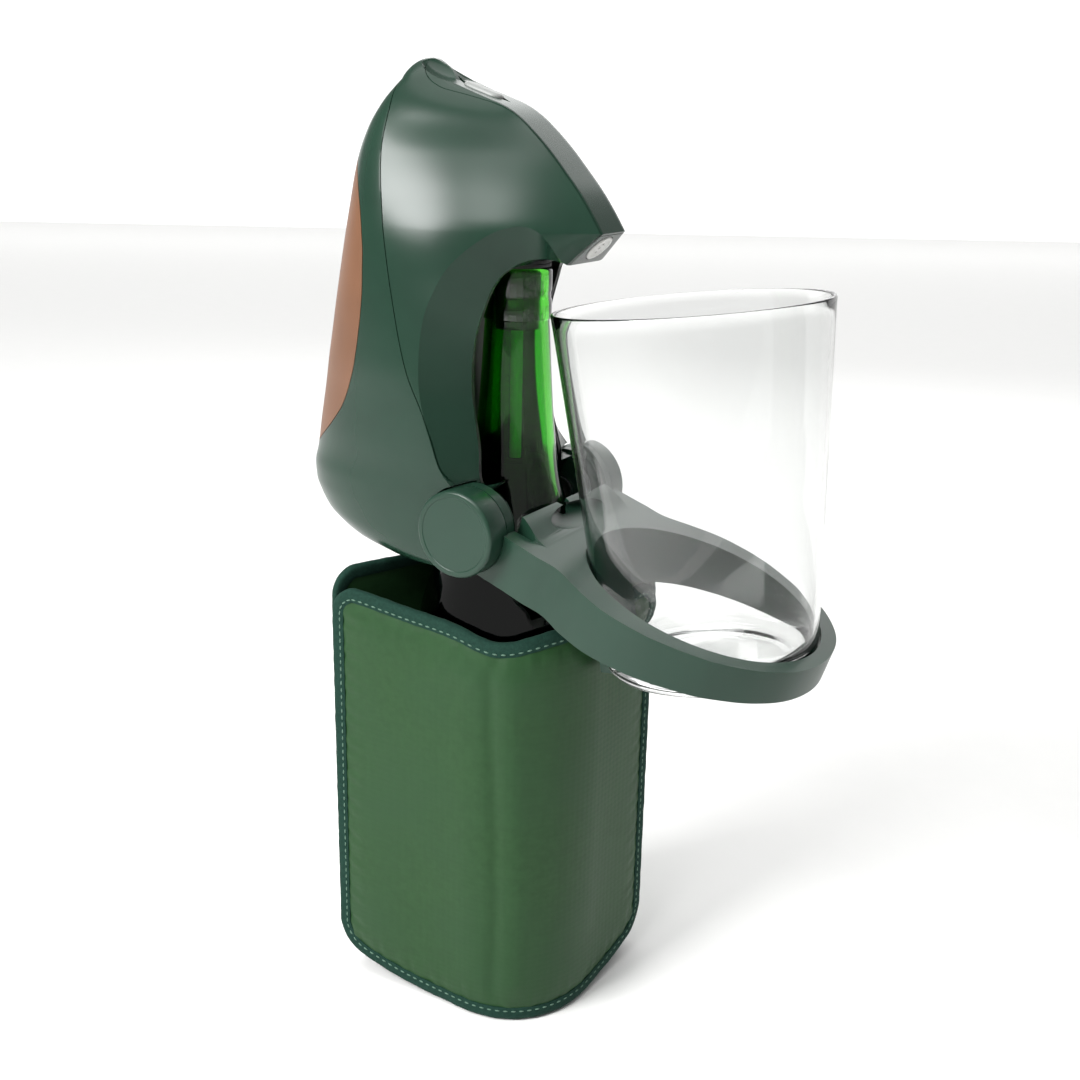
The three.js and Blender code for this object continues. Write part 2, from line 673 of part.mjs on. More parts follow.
// Ridge strip: the ridge outline, thickened up and down
const ridge = stripShares.map(([x, z]) => [alongHead(x), upHead(z)]);
function stripSpace(grow) {
  const [first, second] = ridge;
  const [beforeLast, last] = ridge.slice(-2);
  const stretch = ([x1, z1], [x2, z2]) => {
    const length = Math.hypot(x2 - x1, z2 - z1);
    return [x2 + (grow * (x2 - x1)) / length, z2 + (grow * (z2 - z1)) / length];
  };
  const line = [stretch(second, first), ...ridge.slice(1, -1), stretch(beforeLast, last)];
  const above = line.map(([x, z]) => [x + stripReach / 2, z + stripReach]);
  const below = line.map(([x, z]) => [x - stripReach / 2, z - stripReach]).reverse();
  return solid(sidePrism([...above, ...below], stripHalfWidth + grow));
}

// A frame on the ridge where the button sits
function ridgeHeightAt(x) {
  const upper = ridge.findIndex(([place]) => place < x);
  const [[x1, z1], [x2, z2]] = [ridge[upper - 1], ridge[upper]];
  return { height: z1 + ((x - x1) / (x2 - x1)) * (z2 - z1), slope: Math.atan2(z2 - z1, x1 - x2) };
}
const buttonSeat = ridgeHeightAt(-buttonBack);
const buttonFrame = new THREE.Matrix4()
  .makeRotationY(buttonSeat.slope)
  .setPosition(-buttonBack, 0, buttonSeat.height);
const inButtonFrame = (geometry) => solid(geometry.applyMatrix4(buttonFrame));
const flangeBottom = -buttonFlangeDrop - buttonFlangeThickness;
const switchTop = flangeBottom - buttonTravel - gap;
const boardTop = switchTop - switchHeight - gap;

const buttonHole = inButtonFrame(pill(buttonLength + 2 * gap, buttonWidth + 2 * gap, -stripReach, stripReach));
const pegPlaces = [-1, 1].map((end) => end * (boardLength / 2 - boardPegInset));
const boardPegs = pegPlaces.map((x) =>
  inButtonFrame(rod(boardPegRadius, boardTop + gap, -shellWall / 2, roundTiny).translate(x, 0, 0)));
const strip = cut(join(casing.intersect(stripSpace(0)), ...boardPegs), buttonHole);
piece("ridge_strip", strip, greenPlastic);

const button = join(
  inButtonFrame(pill(buttonLength, buttonWidth, flangeBottom, buttonProud)),
  inButtonFrame(pill(buttonLength + 2 * buttonFlange, buttonWidth + 2 * buttonFlange, flangeBottom, -buttonFlangeDrop)),
);
piece("power_button", button, greyPlastic);
const halfSwitch = switchSize / 2;
piece("button_switch", inButtonFrame(block([-halfSwitch, -halfSwitch, boardTop + gap],
  [halfSwitch, halfSwitch, switchTop])), blackPlastic);
piece("circuit_board", inButtonFrame(block([-boardLength / 2, -boardWidth / 2, boardTop - boardThickness],
  [boardLength / 2, boardWidth / 2, boardTop])), boardGreen);

// Nozzle: a frame in the middle of the spout's end face, its third axis pointing the way the drink leaves
const spoutShares = [[0.222, 0.615], [0.312, 0.678]];
const [[lowX, lowZ], [highX, highZ]] = spoutShares.map(([x, z]) => [alongHead(x), upHead(z)]);
const spoutTilt = Math.atan2(highZ - lowZ, highX - lowX);
const nozzleFrame = new THREE.Matrix4()
  .makeRotationY(Math.PI / 2 + (Math.PI / 2 - spoutTilt))
  .setPosition((lowX + highX) / 2, 0, (lowZ + highZ) / 2);
const inNozzleFrame = (geometry) => solid(geometry.applyMatrix4(nozzleFrame));
const nozzleHole = inNozzleFrame(rod(nozzleRadius + gap, -overrun / 2, overrun / 2, roundMedium));
const nozzleBack = nozzleProud - nozzleThickness;
const nozzleEnd = nozzleBack - nozzleStemLength;
const nozzleProfile = [
  [0, nozzleEnd], [nozzleStemRadius, nozzleEnd], [nozzleStemRadius, nozzleBack], [nozzleRadius, nozzleBack],
  [nozzleRadius, nozzleProud], [0, nozzleProud],
];
const jets = [-1, 0, 1].map((row) => inNozzleFrame(
  rod(nozzleHoleRadius, nozzleEnd - gap, nozzleProud + gap, roundTiny).translate(row * nozzleHolePitch, 0, 0)));
piece("nozzle_insert", cut(inNozzleFrame(turned(nozzleProfile, roundMedium)), ...jets), whitePlastic);

piece("front_shell", cut(casing.intersect(frontSide(gap)), stripSpace(gap), nozzleHole), greenPlastic);

// Battery door: the part of the casing behind an oval line that goes round its sides
const doorLine = doorShares.map(([x, z]) => [alongHead(x), upHead(z)]);
function doorSpace(grow) {
  const outline = doorLine.map(([x, z], i) => {
    const [fromX, fromZ] = doorLine[Math.max(i - 1, 0)];
    const [toX, toZ] = doorLine[Math.min(i + 1, doorLine.length - 1)];
    const away = grow / Math.hypot(toX - fromX, toZ - fromZ);
    return [x + (fromZ - toZ) * away, z + (toX - fromX) * away];
  });
  return solid(sidePrism(outline, headHalfWidth + overrun));
}
const rearCasing = casing.subtract(frontSide(0));
piece("rear_shell", rearCasing.subtract(doorSpace(gap)), greenPlastic);
piece("battery_cover", casing.intersect(doorSpace(0)), brownPlastic);

// The frame of the tray and its posts leans with the casing's back
const doorHeight = headFoot + doorCentre;
const [doorBackShare] = follow(backShares, doorCentre / headHeight);
const doorFrame = new THREE.Matrix4()
  .makeRotationY(-Math.PI / 2 + degrees(backSlope))
  .setPosition(alongHead(doorBackShare), 0, doorHeight);
const inDoorFrame = (geometry) => geometry.applyMatrix4(doorFrame);

// Battery tray and cells, in the door's frame: along the back, sideways, and out of the back
const trayTop = -trayBehindDoor;
const trayBottom = trayTop - trayDepth;
const channelLength = 2 * cellLength + springHeight + 2 * contactThickness + 5 * gap;
const trayHalfLength = channelLength / 2 + trayEnd;
const trayMiddle = -trayBelowDoorCentre;
const cellAxis = trayBottom + trayFloor + gap + cellRadius;
const earTop = trayBottom + trayEarThickness;
const channelHalf = cellRadius + gap;
const channels = bothSides.map((side) => {
  const middle = side * cellPitch / 2;
  return solid(inDoorFrame(block([trayMiddle - channelLength / 2, middle - channelHalf, trayBottom + trayFloor],
    [trayMiddle + channelLength / 2, middle + channelHalf, trayTop + overrun])));
});
const earPlace = trayHalfWidth + earWidth / 2;
const trayEars = solid(inDoorFrame(block([trayMiddle - trayEarHeight / 2, -earPlace - earWidth / 2, trayBottom],
  [trayMiddle + trayEarHeight / 2, earPlace + earWidth / 2, earTop])));
const screwHoles = bothSides.map((side) => solid(inDoorFrame(
  rod(trayScrewRadius + gap, trayBottom - trayScrewLength - gap, earTop + gap, roundTiny)
    .translate(trayMiddle, side * earPlace, 0))));
const trayBox = solid(inDoorFrame(block([trayMiddle - trayHalfLength, -trayHalfWidth, trayBottom],
  [trayMiddle + trayHalfLength, trayHalfWidth, trayTop])));
piece("battery_tray", cut(join(trayBox, trayEars), ...channels, ...screwHoles), blackPlastic);

const cellBody = cellLength - cellNubHeight;
const cellProfile = [
  [0, 0], [cellRadius, 0], [cellRadius, cellBody], [cellNubRadius, cellBody], [cellNubRadius, cellLength],
  [0, cellLength],
];
const lyingRod = (geometry) => geometry.rotateY(Math.PI / 2);
const channelStart = trayMiddle - channelLength / 2;
bothSides.forEach((side, column) => {
  const across = side * cellPitch / 2;
  const firstCell = channelStart + contactThickness + springHeight + 2 * gap;
  for (let row = 0; row < 2; row++) {
    const start = firstCell + row * (cellLength + gap);
    const cell = lyingRod(turned(cellProfile, roundSmall)).translate(start, across, cellAxis);
    piece(`battery_cell_${2 * column + row + 1}`, inDoorFrame(cell), cellJacket);
  }
  const name = column ? "right" : "left";
  const plateHalf = cellRadius - gap;
  const plateStart = channelStart + channelLength - contactThickness - gap;
  piece(`contact_plate_${name}`, inDoorFrame(block([plateStart, across - plateHalf, cellAxis - plateHalf],
    [plateStart + contactThickness, across + plateHalf, cellAxis + plateHalf])), steel);
  // A conical coil spring between the tray's end and the first cell
  const coil = [];
  const steps = springTurns * roundTiny;
  for (let i = 0; i <= steps; i++) {
    const share = i / steps;
    const turn = 2 * Math.PI * springTurns * share;
    const radius = springBigRadius + share * (springSmallRadius - springBigRadius);
    const rise = channelStart + gap + springWire + share * (springHeight - 2 * springWire);
    coil.push(new THREE.Vector3(rise, across + radius * Math.cos(turn), cellAxis + radius * Math.sin(turn)));
  }
  const wire = new THREE.Shape().absarc(0, 0, springWire, 0, 2 * Math.PI);
  const extrudePath = new THREE.CatmullRomCurve3(coil);
  const spring = new THREE.ExtrudeGeometry(wire, { steps, extrudePath, bevelEnabled: false, curveSegments: 3 });
  piece(`contact_spring_${name}`, inDoorFrame(spring), steel);
  const screw = turned([
    [0, trayBottom - trayScrewLength + gap], [trayScrewRadius, trayBottom - trayScrewLength + gap],
    [trayScrewRadius, earTop + gap], [trayScrewHeadRadius, earTop + gap],
    [trayScrewHeadRadius, earTop + gap + trayScrewHeadHeight], [0, earTop + gap + trayScrewHeadHeight],
  ], roundTiny).translate(trayMiddle, side * earPlace, 0);
  piece(`tray_screw_${name}`, inDoorFrame(screw), steel);
});

// Neck liner: trough lining, deck over the bottle's mouth, pump cradles and tray posts
const linerLow = linerFoot / headHeight;
const lining = cut(
  trough(gap, linerLow, (deckTop - headFoot) / headHeight, 0),
  trough(gap + linerWall, linerLow - linerWall / headHeight, (deckBottom - headFoot) / headHeight, troughForward),
);
const pumpAxis = bottleHeight + pumpAxisAboveMouth;
const deckTail = solid(block([-deckBack, -deckHalfWidth, deckBottom], [0, deckHalfWidth, deckTop]));
const pumpCoverBack = pumpFront - pumpCoverThickness;
const diaphragmBack = pumpCoverBack - diaphragmThickness - 2 * gap;
const pumpBodyBack = diaphragmBack - pumpBodyLength;
const motorFront = pumpBodyBack - gap;
const motorBack = motorFront - motorLength;
const cradlePlaces = [diaphragmBack - pumpBodyLength / 2, motorBack + motorLength / 3];
const cradleTops = [pumpAxis - pumpHalfWidth - gap, pumpAxis - motorRadius / 2];
const cradles = cradlePlaces.map((x, i) => solid(block([x - cradleThickness / 2, -cradleHalfWidth, deckBottom],
  [x + cradleThickness / 2, cradleHalfWidth, cradleTops[i]])));
const alongAxis = (geometry, start) => geometry.rotateY(Math.PI / 2).translate(start, 0, pumpAxis);
const motorRoom = solid(alongAxis(rod(motorRadius + gap, 0, motorLength + overrun, roundMedium), motorBack - overrun / 2));
const stopperHole = solid(rod(stopperBossRadius + gap, deckBottom - gap, deckTop + gap, roundMedium));
const postLength = -alongHead(doorBackShare) + trayBottom;
const posts = bothSides.map((side) => solid(inDoorFrame(
  rod(postRadius, trayBottom - postLength, trayBottom - gap, roundSmall).translate(trayMiddle, side * earPlace, 0))));
const linerInside = trough(gap + linerWall / 2, linerLow, troughTop, troughForward);
const postsOutside = posts.map((post) => post.subtract(linerInside));
const liner = cut(join(lining, deckTail, cradles[0], cut(cradles[1], motorRoom), ...postsOutside),
  stopperHole, mouthSpace(gap), ...screwHoles);
piece("neck_liner", liner, blackPlastic);

// Pump: cover with the air port, diaphragm, body, crank and motor, all about one axis along the head
const squareHalf = pumpHalfWidth;
const pumpBlock = (from, to) => solid(block([from, -squareHalf, pumpAxis - squareHalf],
  [to, squareHalf, pumpAxis + squareHalf]));
const airPortTop = pumpAxis - pumpHalfWidth;
const bossTop = deckTop + stopperBossAboveDeck;
const portLength = 2;
const airPort = solid(rod(airHoseRadius, airPortTop - portLength, airPortTop + gap, roundSmall)
  .translate(-airBoreOffset, 0, 0));
const portBore = solid(rod(airBoreRadius, airPortTop - portLength - gap, pumpAxis, roundTiny)
  .translate(-airBoreOffset, 0, 0));
piece("pump_cover", cut(join(pumpBlock(pumpCoverBack, pumpFront), airPort), portBore), blackPlastic);
piece("pump_diaphragm",
  alongAxis(rod(diaphragmRadius, 0, diaphragmThickness, roundSmall), pumpCoverBack - gap - diaphragmThickness),
  blackRubber);
const crankRoom = solid(alongAxis(rod(crankRoomRadius, -overrun, crankRoomLength, roundMedium), pumpBodyBack));
piece("pump_body", pumpBlock(pumpBodyBack, diaphragmBack).subtract(crankRoom), greyPlastic);
const crankStart = pumpBodyBack + gap + motorBossLength;
const crankDisc = solid(alongAxis(rod(crankRadius, 0, crankThickness, roundMedium), crankStart));
const crankPin = solid(alongAxis(
  rod(crankPinRadius, 0, crankPinLength, roundTiny).translate(0, crankRadius / 2, 0), crankStart + crankThickness - gap));
const crankShaft = solid(alongAxis(rod(shaftRadius, 0, shaftLength, roundSmall), crankStart - shaftLength + gap));
piece("pump_crank", join(crankDisc, crankPin, crankShaft), whitePlastic);
const motorBody = solid(alongAxis(turned([
  [0, 0], [motorRadius - motorRound, 0], [motorRadius, motorRound], [motorRadius, motorLength],
  [motorBossRadius, motorLength], [motorBossRadius, motorLength + motorBossLength - gap],
  [0, motorLength + motorBossLength - gap],
], roundMedium), motorBack));
const shaftRoom = solid(alongAxis(rod(shaftRadius + motorBearingGap, 0, shaftLength + overrun, roundSmall),
  crankStart - shaftLength - gap));
piece("motor_can", motorBody.subtract(shaftRoom), steel);

// Stopper in the bottle's mouth, with its seal, the dip tube and the two hoses
const plugRadius = boreRadius - gap;
piece("mouth_seal", turned(ringProfile(boreRadius + gap, stopperFlangeRadius, sealBottom, sealBottom + sealThickness),
  roundMedium), blackRubber);
const tubeHole = tubeRadius + gap;
const stopperProfile = [
  [tubeHole, bottleHeight - stopperPlugLength], [plugRadius - stopperTaper, bottleHeight - stopperPlugLength],
  [plugRadius, flangeLow], [stopperFlangeRadius, flangeLow], [stopperFlangeRadius, flangeHigh],
  [stopperBossRadius, flangeHigh], [stopperBossRadius, bossTop], [tubeHole, bossTop],
  [tubeHole, bottleHeight - stopperPlugLength],
];
const airBore = solid(rod(airBoreRadius, bottleHeight - stopperPlugLength - gap, bossTop + gap, roundTiny)
  .translate(-airBoreOffset, 0, 0));
piece("bottle_stopper", solid(turned(stopperProfile, roundMedium)).subtract(airBore), blackRubber);
piece("dip_tube", turned(ringProfile(tubeBore, tubeRadius, bottleFootThickness + tubeFootGap, bossTop), roundSmall),
  clearHose);
const straight = (x, low, high) => [0, 1 / 3, 2 / 3, 1].map((t) => new THREE.Vector3(x, 0, low + t * (high - low)));
piece("air_hose", hose(straight(-airBoreOffset, bossTop + gap, airPortTop - portLength - gap),
  airHoseRadius, airBoreRadius, 3), clearHose);

// The drink hose rises from the dip tube, arches over the mouth and comes down square to the nozzle
const hoseStart = bossTop + gap;
const nozzleAxis = new THREE.Vector3(0, 0, 1).transformDirection(nozzleFrame);
const alongNozzle = (distance) =>
  new THREE.Vector3().setFromMatrixPosition(nozzleFrame).addScaledVector(nozzleAxis, distance);
const hoseEnd = alongNozzle(nozzleEnd - gap);
const hoseRun = hoseEnd.x;
const hoseRise = hoseEnd.z - hoseStart;
const hoseShares = [[0, 0.16], [0.05, 0.5], [0.22, 0.95], [0.45, 1.5], [0.68, 1.75]];
const hosePoints = [
  new THREE.Vector3(0, 0, hoseStart),
  ...hoseShares.map(([x, z]) => new THREE.Vector3(x * hoseRun, 0, hoseStart + z * hoseRise)),
  alongNozzle(nozzleEnd - hoseRadius), hoseEnd,
];
piece("outlet_hose", hose(hosePoints, hoseRadius, hoseBore, 16), clearHose);

// Hinge: pins through the lugs, washers, and the round caps on the outside
const sideNames = { "-1": "left", 1: "right" };
for (const side of bothSides) {
  const name = sideNames[side];
  const about = (profile, segments) =>
    turned(profile, segments).rotateX(-side * Math.PI / 2).translate(hingeForward, 0, hingeHeight);
  const pinHeadInner = lugInner - gap - pinHeadThickness;
  const pinEnd = capInner + pinReachIntoCap;
  piece(`hinge_pin_${name}`, about([
    [0, pinHeadInner], [pinHeadRadius, pinHeadInner], [pinHeadRadius, lugInner - gap], [pinRadius, lugInner - gap],
    [pinRadius, pinEnd], [0, pinEnd],
  ], roundSmall), steel);
  piece(`hinge_washer_${name}`, about(ringProfile(pinRadius + gap, washerRadius, washerInner,
    washerInner + washerThickness), roundMedium), blackRubber);
  piece(`hinge_cap_${name}`, about([
    [0, pinEnd + gap], [pinRadius + gap, pinEnd + gap], [pinRadius + gap, capInner], [hingeRadius, capInner],
    [hingeRadius, capOuter - capBevel], [hingeRadius - capBevel, capOuter], [0, capOuter],
  ], roundMedium), greenPlastic);
}

// Glass, leaning back over its base
const glassFrame = new THREE.Matrix4()
  .makeRotationY(degrees(-glassLean))
  .setPosition(hingeForward + glassOut, 0, hingeHeight - glassDrop);
const glassRadiusAt = (height) =>
  glassBaseRadius + ((glassRimRadius - glassBaseRadius) * height) / glassHeight;
const glassProfile = [[0, 0]];
const roundSteps = 4;
for (let i = 0; i <= roundSteps; i++) {
  const turn = (i / roundSteps) * (Math.PI / 2);
  glassProfile.push([glassBaseRadius - glassBaseRound + glassBaseRound * Math.sin(turn),
    glassBaseRound * (1 - Math.cos(turn))]);
}
glassProfile.push([glassRimRadius, glassHeight - glassWall / 2], [glassRimRadius - glassWall / 2, glassHeight],
  [glassRimRadius - glassWall, glassHeight - glassWall / 2]);
const insideFoot = glassBaseThickness + glassBaseRound;
glassProfile.push([glassRadiusAt(insideFoot) - glassWall, insideFoot],
  [glassRadiusAt(insideFoot) - glassWall - glassBaseRound / 3, glassBaseThickness + glassBaseRound / 4],
  [glassBaseRadius - glassWall - glassBaseRound, glassBaseThickness], [0, glassBaseThickness]);
piece("drinking_glass", turned(glassProfile, roundFine).applyMatrix4(glassFrame), clearGlass);

// Cone round the glass: grow is sideways, low and high are along the glass
function glassSpace(grow, low, high) {
  const profile = [[0, low], [glassRadiusAt(low) + grow, low], [glassRadiusAt(high) + grow, high], [0, high]];
  return solid(turned(profile, roundFine).applyMatrix4(glassFrame));
}

// Glass holder
const holderFrame = new THREE.Matrix4()
  .makeRotationY(degrees(holderTilt))
  .setPosition(hingeForward, 0, hingeHeight);
const inHolderFrame = (geometry) => solid(geometry.applyMatrix4(holderFrame));
const sideLine = holderSideShares.map(([u, v]) => [u * holderReach, v * holderHalfWidth]);
const halfOutline = [
  [plateRear, plateCornerHalfWidth], [plateShoulder, lugOuter], [plateShoulder, earInner], [armRear, earInner],
  [armRear, armHalfWidth], ...sideLine,
];
const mirroredLine = (line) => line.slice().reverse().map(([u, v]) => [u, -v]);
const holderOutline = [...halfOutline, ...mirroredLine(halfOutline.slice(0, -1))];
const holderBottom = holderTop - holderDepth;
const holderBlank = inHolderFrame(prism(holderOutline, holderBottom, holderTop));
const riseOutline = [
  [plateRear, holderTop - plateThickness], [plateRiseEnd, holderTop - plateThickness], [plateRiseEnd, holderTop],
  [plateRear, holderTop + plateRise],
];
const plateOutline = [[plateRear, plateCornerHalfWidth], [plateShoulder, lugOuter], [plateRiseEnd, lugOuter]];
const rise = inHolderFrame(sidePrism(riseOutline, lugOuter))
  .intersect(inHolderFrame(prism([...plateOutline, ...mirroredLine(plateOutline)],
    holderBottom, holderTop + plateRise + gap)));
const beyondHolder = holderReach + overrun;
const slopeEnd = holderTop - holderFrontDepth
  + ((holderDepth - holderFrontDepth) * overrun) / (holderReach - holderTaperStart);
const underside = inHolderFrame(sidePrism([
  [holderTaperStart, holderBottom], [beyondHolder, slopeEnd],
  [beyondHolder, holderBottom - overrun], [holderTaperStart, holderBottom - overrun],
], holderHalfWidth + overrun));
const skirtLine = [
  [armRear, plateCornerHalfWidth - skirtWall], [plateShoulder, lugOuter - skirtWall],
  ...sideLine.slice(1, 4).map(([u, v]) => [u, v - skirtWall]),
];
const plateUnder = inHolderFrame(prism([...skirtLine, ...mirroredLine(skirtLine)],
  holderBottom - gap, holderTop - plateThickness));
const ringWall = glassSpace(holeClearance + skirtWall, -overrun, glassHeight / 2);
const ears = bothSides.map((side) => solid(hingeRod(hingeRadius, earInner, earOuter, side)));
const capRooms = bothSides.map((side) =>
  solid(hingeRod(hingeRadius + gap, capInner - gap / 2, capOuter + overrun, side)));
const tongueBlank = glassSpace(holeClearance + tongueThickness, -footThickness - gap, tongueTop)
  .intersect(solid(block([0, -tongueHalfWidth, 0],
    [hingeForward + glassOut - glassBaseRadius + footReach, tongueHalfWidth, bottleHeight])));
const glassHole = glassSpace(holeClearance, -gap, glassHeight / 2);
const baseFront = new THREE.Vector3(glassBaseRadius, 0, 0).applyMatrix4(glassFrame)
  .applyMatrix4(holderFrame.clone().invert());
const baseOpening = inHolderFrame(rod(glassBaseRadius, holderBottom - overrun, holderTop, roundFine)
  .translate(baseFront.x - ledgeReach - glassBaseRadius, 0, 0));
const dimpleOut = (plateRear + plateRiseEnd) / 2 + 2 * gap;
const dimpleMiddle = holderTop + plateRise / 2;
const dimple = inHolderFrame(new THREE.SphereGeometry(1, roundMedium, roundSmall)
  .scale(dimpleHalfLength, dimpleHalfWidth, 2 * dimpleDepth)
  .translate(dimpleOut, 0, dimpleMiddle + dimpleDepth / 2));
// Room under the plate's rear edge for the bottle's shoulder
const undercutLean = undercutRun / (undercutStart + plateThickness);
const undercut = inHolderFrame(sidePrism([
  [armRear, holderTop + undercutStart], [plateRear, holderTop + undercutStart],
  [plateRear + undercutLean * (undercutStart + holderDepth + gap), holderBottom - gap],
  [armRear, holderBottom - gap],
], lugOuter));
const notch = inHolderFrame(rod(notchRadius, holderBottom, holderTop + plateRise + overrun, roundSmall)
  .translate(plateRear, 0, 0));
const holder = cut(
  join(cut(join(holderBlank, rise), underside, plateUnder.subtract(ringWall), baseOpening), ...ears, tongueBlank),
  glassHole, dimple, notch, undercut, shoulderSpace(plateBottleGap), ...capRooms, ...pinHoles,
);
piece("glass_holder", holder, greenPlastic);

// Sleeve: two padded panels sewn at their sides, each with a bound edge all round.
// The sleeve is turned about the bottle, so its width runs along its own first axis.
const sleeveFrame = new THREE.Matrix4().makeRotationZ(degrees(sleeveTurn));
const panelSteps = 16;
const panelRows = 12;
// A point on the middle of a panel: across from 0 to 1, up from 0 to 1, face -1 in front and 1 behind
function panelPoint(face, across, up) {
  const edge = Math.abs(2 * across - 1) ** 3;
  const foot = sleeveFoot + bindingWidth / 2 + sleeveCornerRise * edge;
  const crest = (1 - edge) ** 2;
  const head = (face < 0 ? sleeveTop - sleeveNearDip * crest : sleeveRearTop) - bindingWidth / 2;
  const height = foot + up * (head - foot);
  const hugRadius = bottleRadiusAt(height) + sleeveThickness / 2 - sleeveGrip;
  const reachLeft = Math.acos(hugRadius / sleeveLeft);
  const reachRight = Math.acos(hugRadius / sleeveRight);
  const straightLeft = Math.sqrt(sleeveLeft ** 2 - hugRadius ** 2);
  const straightRight = Math.sqrt(sleeveRight ** 2 - hugRadius ** 2);
  const arc = (Math.PI - reachLeft - reachRight) * hugRadius;
  let travelled = across * (straightLeft + arc + straightRight);
  let x;
  let out;
  if (travelled < straightLeft) {
    x = -sleeveLeft + (travelled * straightLeft) / sleeveLeft;
    out = (travelled * hugRadius) / sleeveLeft;
  } else if (travelled < straightLeft + arc) {
    const turn = Math.PI - reachLeft - (travelled - straightLeft) / hugRadius;
    x = hugRadius * Math.cos(turn);
    out = hugRadius * Math.sin(turn);
  } else {
    travelled = straightLeft + arc + straightRight - travelled;
    x = sleeveRight - (travelled * straightRight) / sleeveRight;
    out = (travelled * hugRadius) / sleeveRight;
  }
  const fullness = (out / hugRadius) ** 4;
  const standOff = face < 0 ? sleeveStandOff : sleeveStandOff / 4;
  out += fullness * standOff + bindingThickness / 2 + gap / 2;
  return new THREE.Vector3(x, face * out, height);
}
// Out of the panel, and towards its middle, at the same point
function panelDirections(face, across, up) {
  const step = 0.01;
  const a = panelPoint(face, Math.max(across - step, 0), up);
  const b = panelPoint(face, Math.min(across + step, 1), up);
  const along = b.sub(a).setZ(0).normalize();
  return new THREE.Vector3(-along.y * face, along.x * face, 0);
}
function sleevePanel(face) {
  const inset = bindingWidth / 2 + 3 * gap;
  const width = sleeveLeft + sleeveRight;
  const height = sleeveTop - sleeveFoot - sleeveCornerRise;
  const rings = [];
  for (let i = 0; i <= panelSteps; i++) {
    const across = inset / width + (i / panelSteps) * (1 - (2 * inset) / width);
    const outerSide = [];
    const innerSide = [];
    for (let row = 0; row <= panelRows; row++) {
      const up = inset / height + (row / panelRows) * (1 - (2 * inset) / height);
      const edge = Math.min(1, 4 * Math.min(i, panelSteps - i) / panelSteps, 4 * Math.min(row, panelRows - row) / panelRows);
      const half = (sleeveEdgeThickness + edge * (sleeveThickness - sleeveEdgeThickness)) / 2;
      const point = panelPoint(face, across, up);
      const out = panelDirections(face, across, up);
      outerSide.push(point.clone().addScaledVector(out, half));
      innerSide.unshift(point.clone().addScaledVector(out, -half));
    }
    rings.push([...outerSide, ...innerSide]);
  }
  return loft(rings).applyMatrix4(sleeveFrame);
}
// The tape's section: towards the panel, then through its thickness
const bindingShares = [[-1, -0.5], [-1, 0.5], [-0.7, 1], [1, 1], [1, -1], [-0.7, -1]];
function sleeveBinding(face) {
  const path = [];
  const corner = bindingWidth / (sleeveTop - sleeveFoot);
  for (let i = 0; i < panelSteps; i++) path.push([i / panelSteps, 0]);
  for (let i = 0; i < panelRows; i++) path.push([1, i / panelRows]);
  for (let i = panelSteps; i > 0; i--) path.push([i / panelSteps, 1]);
  for (let i = panelRows; i > 0; i--) path.push([0, i / panelRows]);
  const rings = path.map(([across, up]) => {
    const place = panelPoint(face, across, up);
    const out = panelDirections(face, across, up);
    const acrossIn = across + (across < 0.5 ? 1 : -1) * (across < corner || across > 1 - corner ? corner : 0);
    const upIn = up + (up < 0.5 ? 1 : -1) * (up < corner || up > 1 - corner ? corner : 0);
    const inward = panelPoint(face, acrossIn, upIn).sub(place).normalize().multiplyScalar(bindingWidth / 2);
    const thick = out.multiplyScalar(bindingThickness / 2);
    return bindingShares.map(([a, b]) => place.clone().addScaledVector(inward, a).addScaledVector(thick, b));
  });
  return hoop(rings).applyMatrix4(sleeveFrame);
}
for (const [face, name] of [[-1, "front"], [1, "rear"]]) {
  const seam = [face * gap / 2, face * (sleeveLeft + overrun)].sort((a, b) => a - b);
  const half = solid(block([-sleeveLeft - overrun, seam[0], 0], [sleeveRight + overrun, seam[1], bottleHeight])
    .applyMatrix4(sleeveFrame));
  piece(`sleeve_${name}_panel`, solid(sleevePanel(face)).intersect(half), sleeveFabric);
  piece(`sleeve_${name}_binding`, solid(sleeveBinding(face)).intersect(half), bindingFabric);
}

export default pourer;
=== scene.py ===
"""Electric cider pourer on its bottle, with the glass in its hinged holder and the padded sleeve.

The frame is the part's own: +X is the way the spout points, +Z is up, and the origin is the centre of
the bottle's foot. Shapes are made in millimetres and turned into metres as they become objects.
"""

import math
from functools import lru_cache

import bmesh
import bpy
from mathutils import Matrix, Vector


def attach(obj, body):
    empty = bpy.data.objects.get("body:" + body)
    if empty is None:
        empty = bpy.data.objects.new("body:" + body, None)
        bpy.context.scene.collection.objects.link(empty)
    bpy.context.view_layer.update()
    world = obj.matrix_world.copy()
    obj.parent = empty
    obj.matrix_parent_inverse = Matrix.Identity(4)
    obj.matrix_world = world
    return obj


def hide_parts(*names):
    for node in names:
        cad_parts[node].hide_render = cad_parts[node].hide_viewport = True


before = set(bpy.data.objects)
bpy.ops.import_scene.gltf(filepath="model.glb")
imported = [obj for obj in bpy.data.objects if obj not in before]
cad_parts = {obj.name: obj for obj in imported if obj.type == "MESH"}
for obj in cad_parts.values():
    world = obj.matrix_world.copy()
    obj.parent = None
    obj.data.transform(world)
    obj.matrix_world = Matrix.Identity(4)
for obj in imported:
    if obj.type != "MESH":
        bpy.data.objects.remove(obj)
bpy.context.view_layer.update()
scene = bpy.context.scene
scene.view_settings.view_transform = "Standard"

MM = 0.001
GAP = 0.3  # the line between two outside pieces, in mm


# ---- Outlines of the pump head, as shares of its depth, half width and height. LEAF is in mm ----

